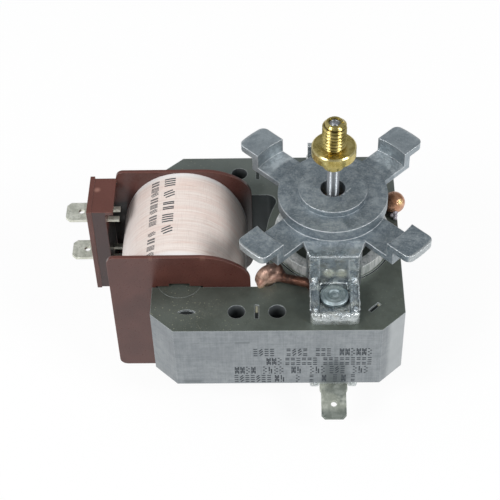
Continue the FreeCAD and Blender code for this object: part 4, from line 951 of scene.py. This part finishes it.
def sign(shape, number, place, size, width, thick):
    """A sign of plain strokes in the plane of X and Y."""
    for stroke in SIGNS[number % len(SIGNS)]:
        start, end = ([middle + share * (length - width)
                       for middle, share, length in zip(place, point, size)] for point in stroke)
        stroke_block(shape, start, end, width, thick)


def stack_print():
    """Four rows of dark strokes on the stack's front face."""
    shape = bmesh.new()
    number = 0
    for height, groups in FRONT_ROWS.items():
        for left, count in groups:
            for place in range(count):
                middle = (left + FRONT_PITCH * (place + 0.5), height)
                # A plain rule that keeps neighbours unlike
                sign(shape, number * number + place, middle, FRONT_GLYPH, STROKE, PRINT_PROUD * 2)
                number += 1
    upright = Matrix.Translation((0, FRONT_Y, 0)) @ Matrix.Rotation(math.radians(90), 4, "X")
    bmesh.ops.transform(shape, matrix=upright, verts=shape.verts)
    new_piece("stack_print", shape, "lamination_steel", "frame", smooth=False, finish=INK)


def coil_print():
    """Two rows of dark strokes that follow the tape's round top."""
    shape = bmesh.new()
    number = 0
    for across, size, width, places in COIL_ROWS:
        for along in places:
            # Only the signs whose strokes all run one way
            sign(shape, number * 2, (across, along), size, width, PRINT_PROUD * 4)
            number += 1
    bmesh.ops.subdivide_edges(shape, edges=shape.edges, cuts=2, use_grid_fill=True)
    for corner in shape.verts:
        turn = corner.co.x / TAPE_R
        radius = TAPE_R + corner.co.z
        corner.co = (TAPE_AXIS[0] + radius * math.sin(turn), corner.co.y,
                     TAPE_AXIS[1] + radius * math.cos(turn))
    new_piece("coil_print", shape, "coil_tape", "frame", smooth=False, finish=INK)


def wire_ring(shape, radius, matrix):
    """A small circle's corners and edges, to draw a bead of metal from."""
    corners = bmesh.ops.create_circle(shape, segments=10, radius=radius, matrix=matrix)["verts"]
    edges = list(dict.fromkeys(edge for corner in corners for edge in corner.link_edges))
    return corners, edges


def bead(shape, start, end, radius, rough, seed):
    """A rough bead of metal between two points."""
    start, end = Vector(start), Vector(end)
    run = end - start
    count = int(run.length / BEAD_STEP)
    turn = run.to_track_quat("Z", "Y").to_matrix().to_4x4()
    every, rim = wire_ring(shape, radius, Matrix.Translation(start) @ turn)
    for _ in range(count):
        rim, corners = drawn_out(shape, rim)
        bmesh.ops.translate(shape, vec=run / count, verts=corners)
        every += corners
    for corner in every:
        middle = start + run * ((corner.co - start).dot(run) / run.length_squared)
        wave = noise.noise(corner.co * BEAD_WAVE + Vector((seed, 0, 0))) * rough
        corner.co = middle + (corner.co - middle) * (1 + wave)


def cast_lumps():
    """What the die left on the bracket's front leg: lumps at the ribs' ends and bends, flash along
    the edges, fillets in the recess with two ejector marks, and two curled gate marks on the
    foot's end."""
    shape = bmesh.new()
    for rib in RIBS_X:
        balls(shape, [((rib * share, y, z), radius) for (share, y, z), radius in RIB_LUMPS])
    for place in EJECTOR_MARKS:
        flat = Matrix.Translation(place) @ Matrix.Diagonal(EJECTOR_HALVES)
        bmesh.ops.create_icosphere(shape, subdivisions=3, radius=1.0, matrix=flat)
    for start, end, radius, rough, seed in BEADS:
        bead(shape, start, end, radius, rough, seed)
    for x, side in GATE_CURLS:
        place = Matrix.Translation((x + CURL_R * side, *CURL_YZ))
        corners, edges = wire_ring(shape, CURL_WIRE_R, place)
        swept(shape, corners + edges, CURL_STEPS, (x, *CURL_YZ), (0, side, 0), CURL_ANGLE)
    open_edges = [edge for edge in shape.edges if edge.is_boundary]
    bmesh.ops.holes_fill(shape, edges=open_edges, sides=0)
    new_piece("bracket_cast_lumps", shape, "die_cast", "frame")


def floor_finish():
    """A pale floor that shows white to the camera and keeps a soft shadow."""
    finish = Finish("pale floor", Base_Color=FLOOR_COLOR, Roughness=0.9)
    glow = finish.nodes.new("ShaderNodeEmission")
    rays = finish.nodes.new("ShaderNodeLightPath")
    shiny = finish.either(rays.outputs["Is Glossy Ray"], rays.outputs["Is Transmission Ray"])
    seen = finish.either(rays.outputs["Is Camera Ray"], shiny)
    mixed = finish.nodes.new("ShaderNodeMixShader")
    output = finish.nodes["Material Output"]
    finish.feed(mixed.inputs[0], finish.times(seen, FLOOR_GLOW))
    finish.links.new(finish.shader.outputs[0], mixed.inputs[1])
    finish.links.new(glow.outputs[0], mixed.inputs[2])
    finish.links.new(mixed.outputs[0], output.inputs["Surface"])
    return finish.material


def make_floor():
    """A floor just under the object, for the pictures only."""
    shape = bmesh.new()
    bmesh.ops.create_grid(shape, x_segments=1, y_segments=1, size=FLOOR_SIZE)
    bmesh.ops.translate(shape, vec=(0, 0, cad_box[0][2] - FLOOR_GAP), verts=shape.verts)
    mesh = as_mesh("floor", shape)
    mesh.materials.append(floor_finish())
    floor = placed("floor", mesh)


def make_camera():
    """The camera that took the photograph."""
    right, up = Vector(CAMERA_RIGHT).normalized(), Vector(CAMERA_UP).normalized()
    back = right.cross(up).normalized()
    up = back.cross(right)
    place = Matrix((right, up, back)).transposed().to_4x4()
    place.translation = Vector(CAMERA_PLACE) * MM
    data = bpy.data.cameras.new("camera")
    data.sensor_width = SENSOR
    data.lens = CAMERA_LENS
    data.clip_start = CAMERA_NEAR
    camera = placed("camera", data)
    camera.matrix_world = place
    bpy.context.scene.camera = camera


def make_light():
    """Square soft lamps that face the object's middle, in a dimly glowing world."""
    world = bpy.data.worlds.new("studio")
    bpy.context.scene.world = world
    world.use_nodes = True
    background = world.node_tree.nodes["Background"]
    background.inputs["Color"].default_value = WORLD_COLOR
    background.inputs["Strength"].default_value = WORLD_STRENGTH
    for name, place, size, power in LAMPS:
        data = bpy.data.lights.new(name, "AREA")
        data.size = size
        data.energy = power
        light = placed(name, data)
        light.location = place
        towards = LIT_MIDDLE - Vector(place)
        light.rotation_euler = towards.to_track_quat("-Z", "Y").to_euler()


make_camera()
make_floor()
make_light()
dress_nodes()
threaded_bush()
shaft_end()
copper_rings()
cast_lumps()
stack_print()
coil_print()

bpy.context.scene.view_settings.view_transform = "Standard"
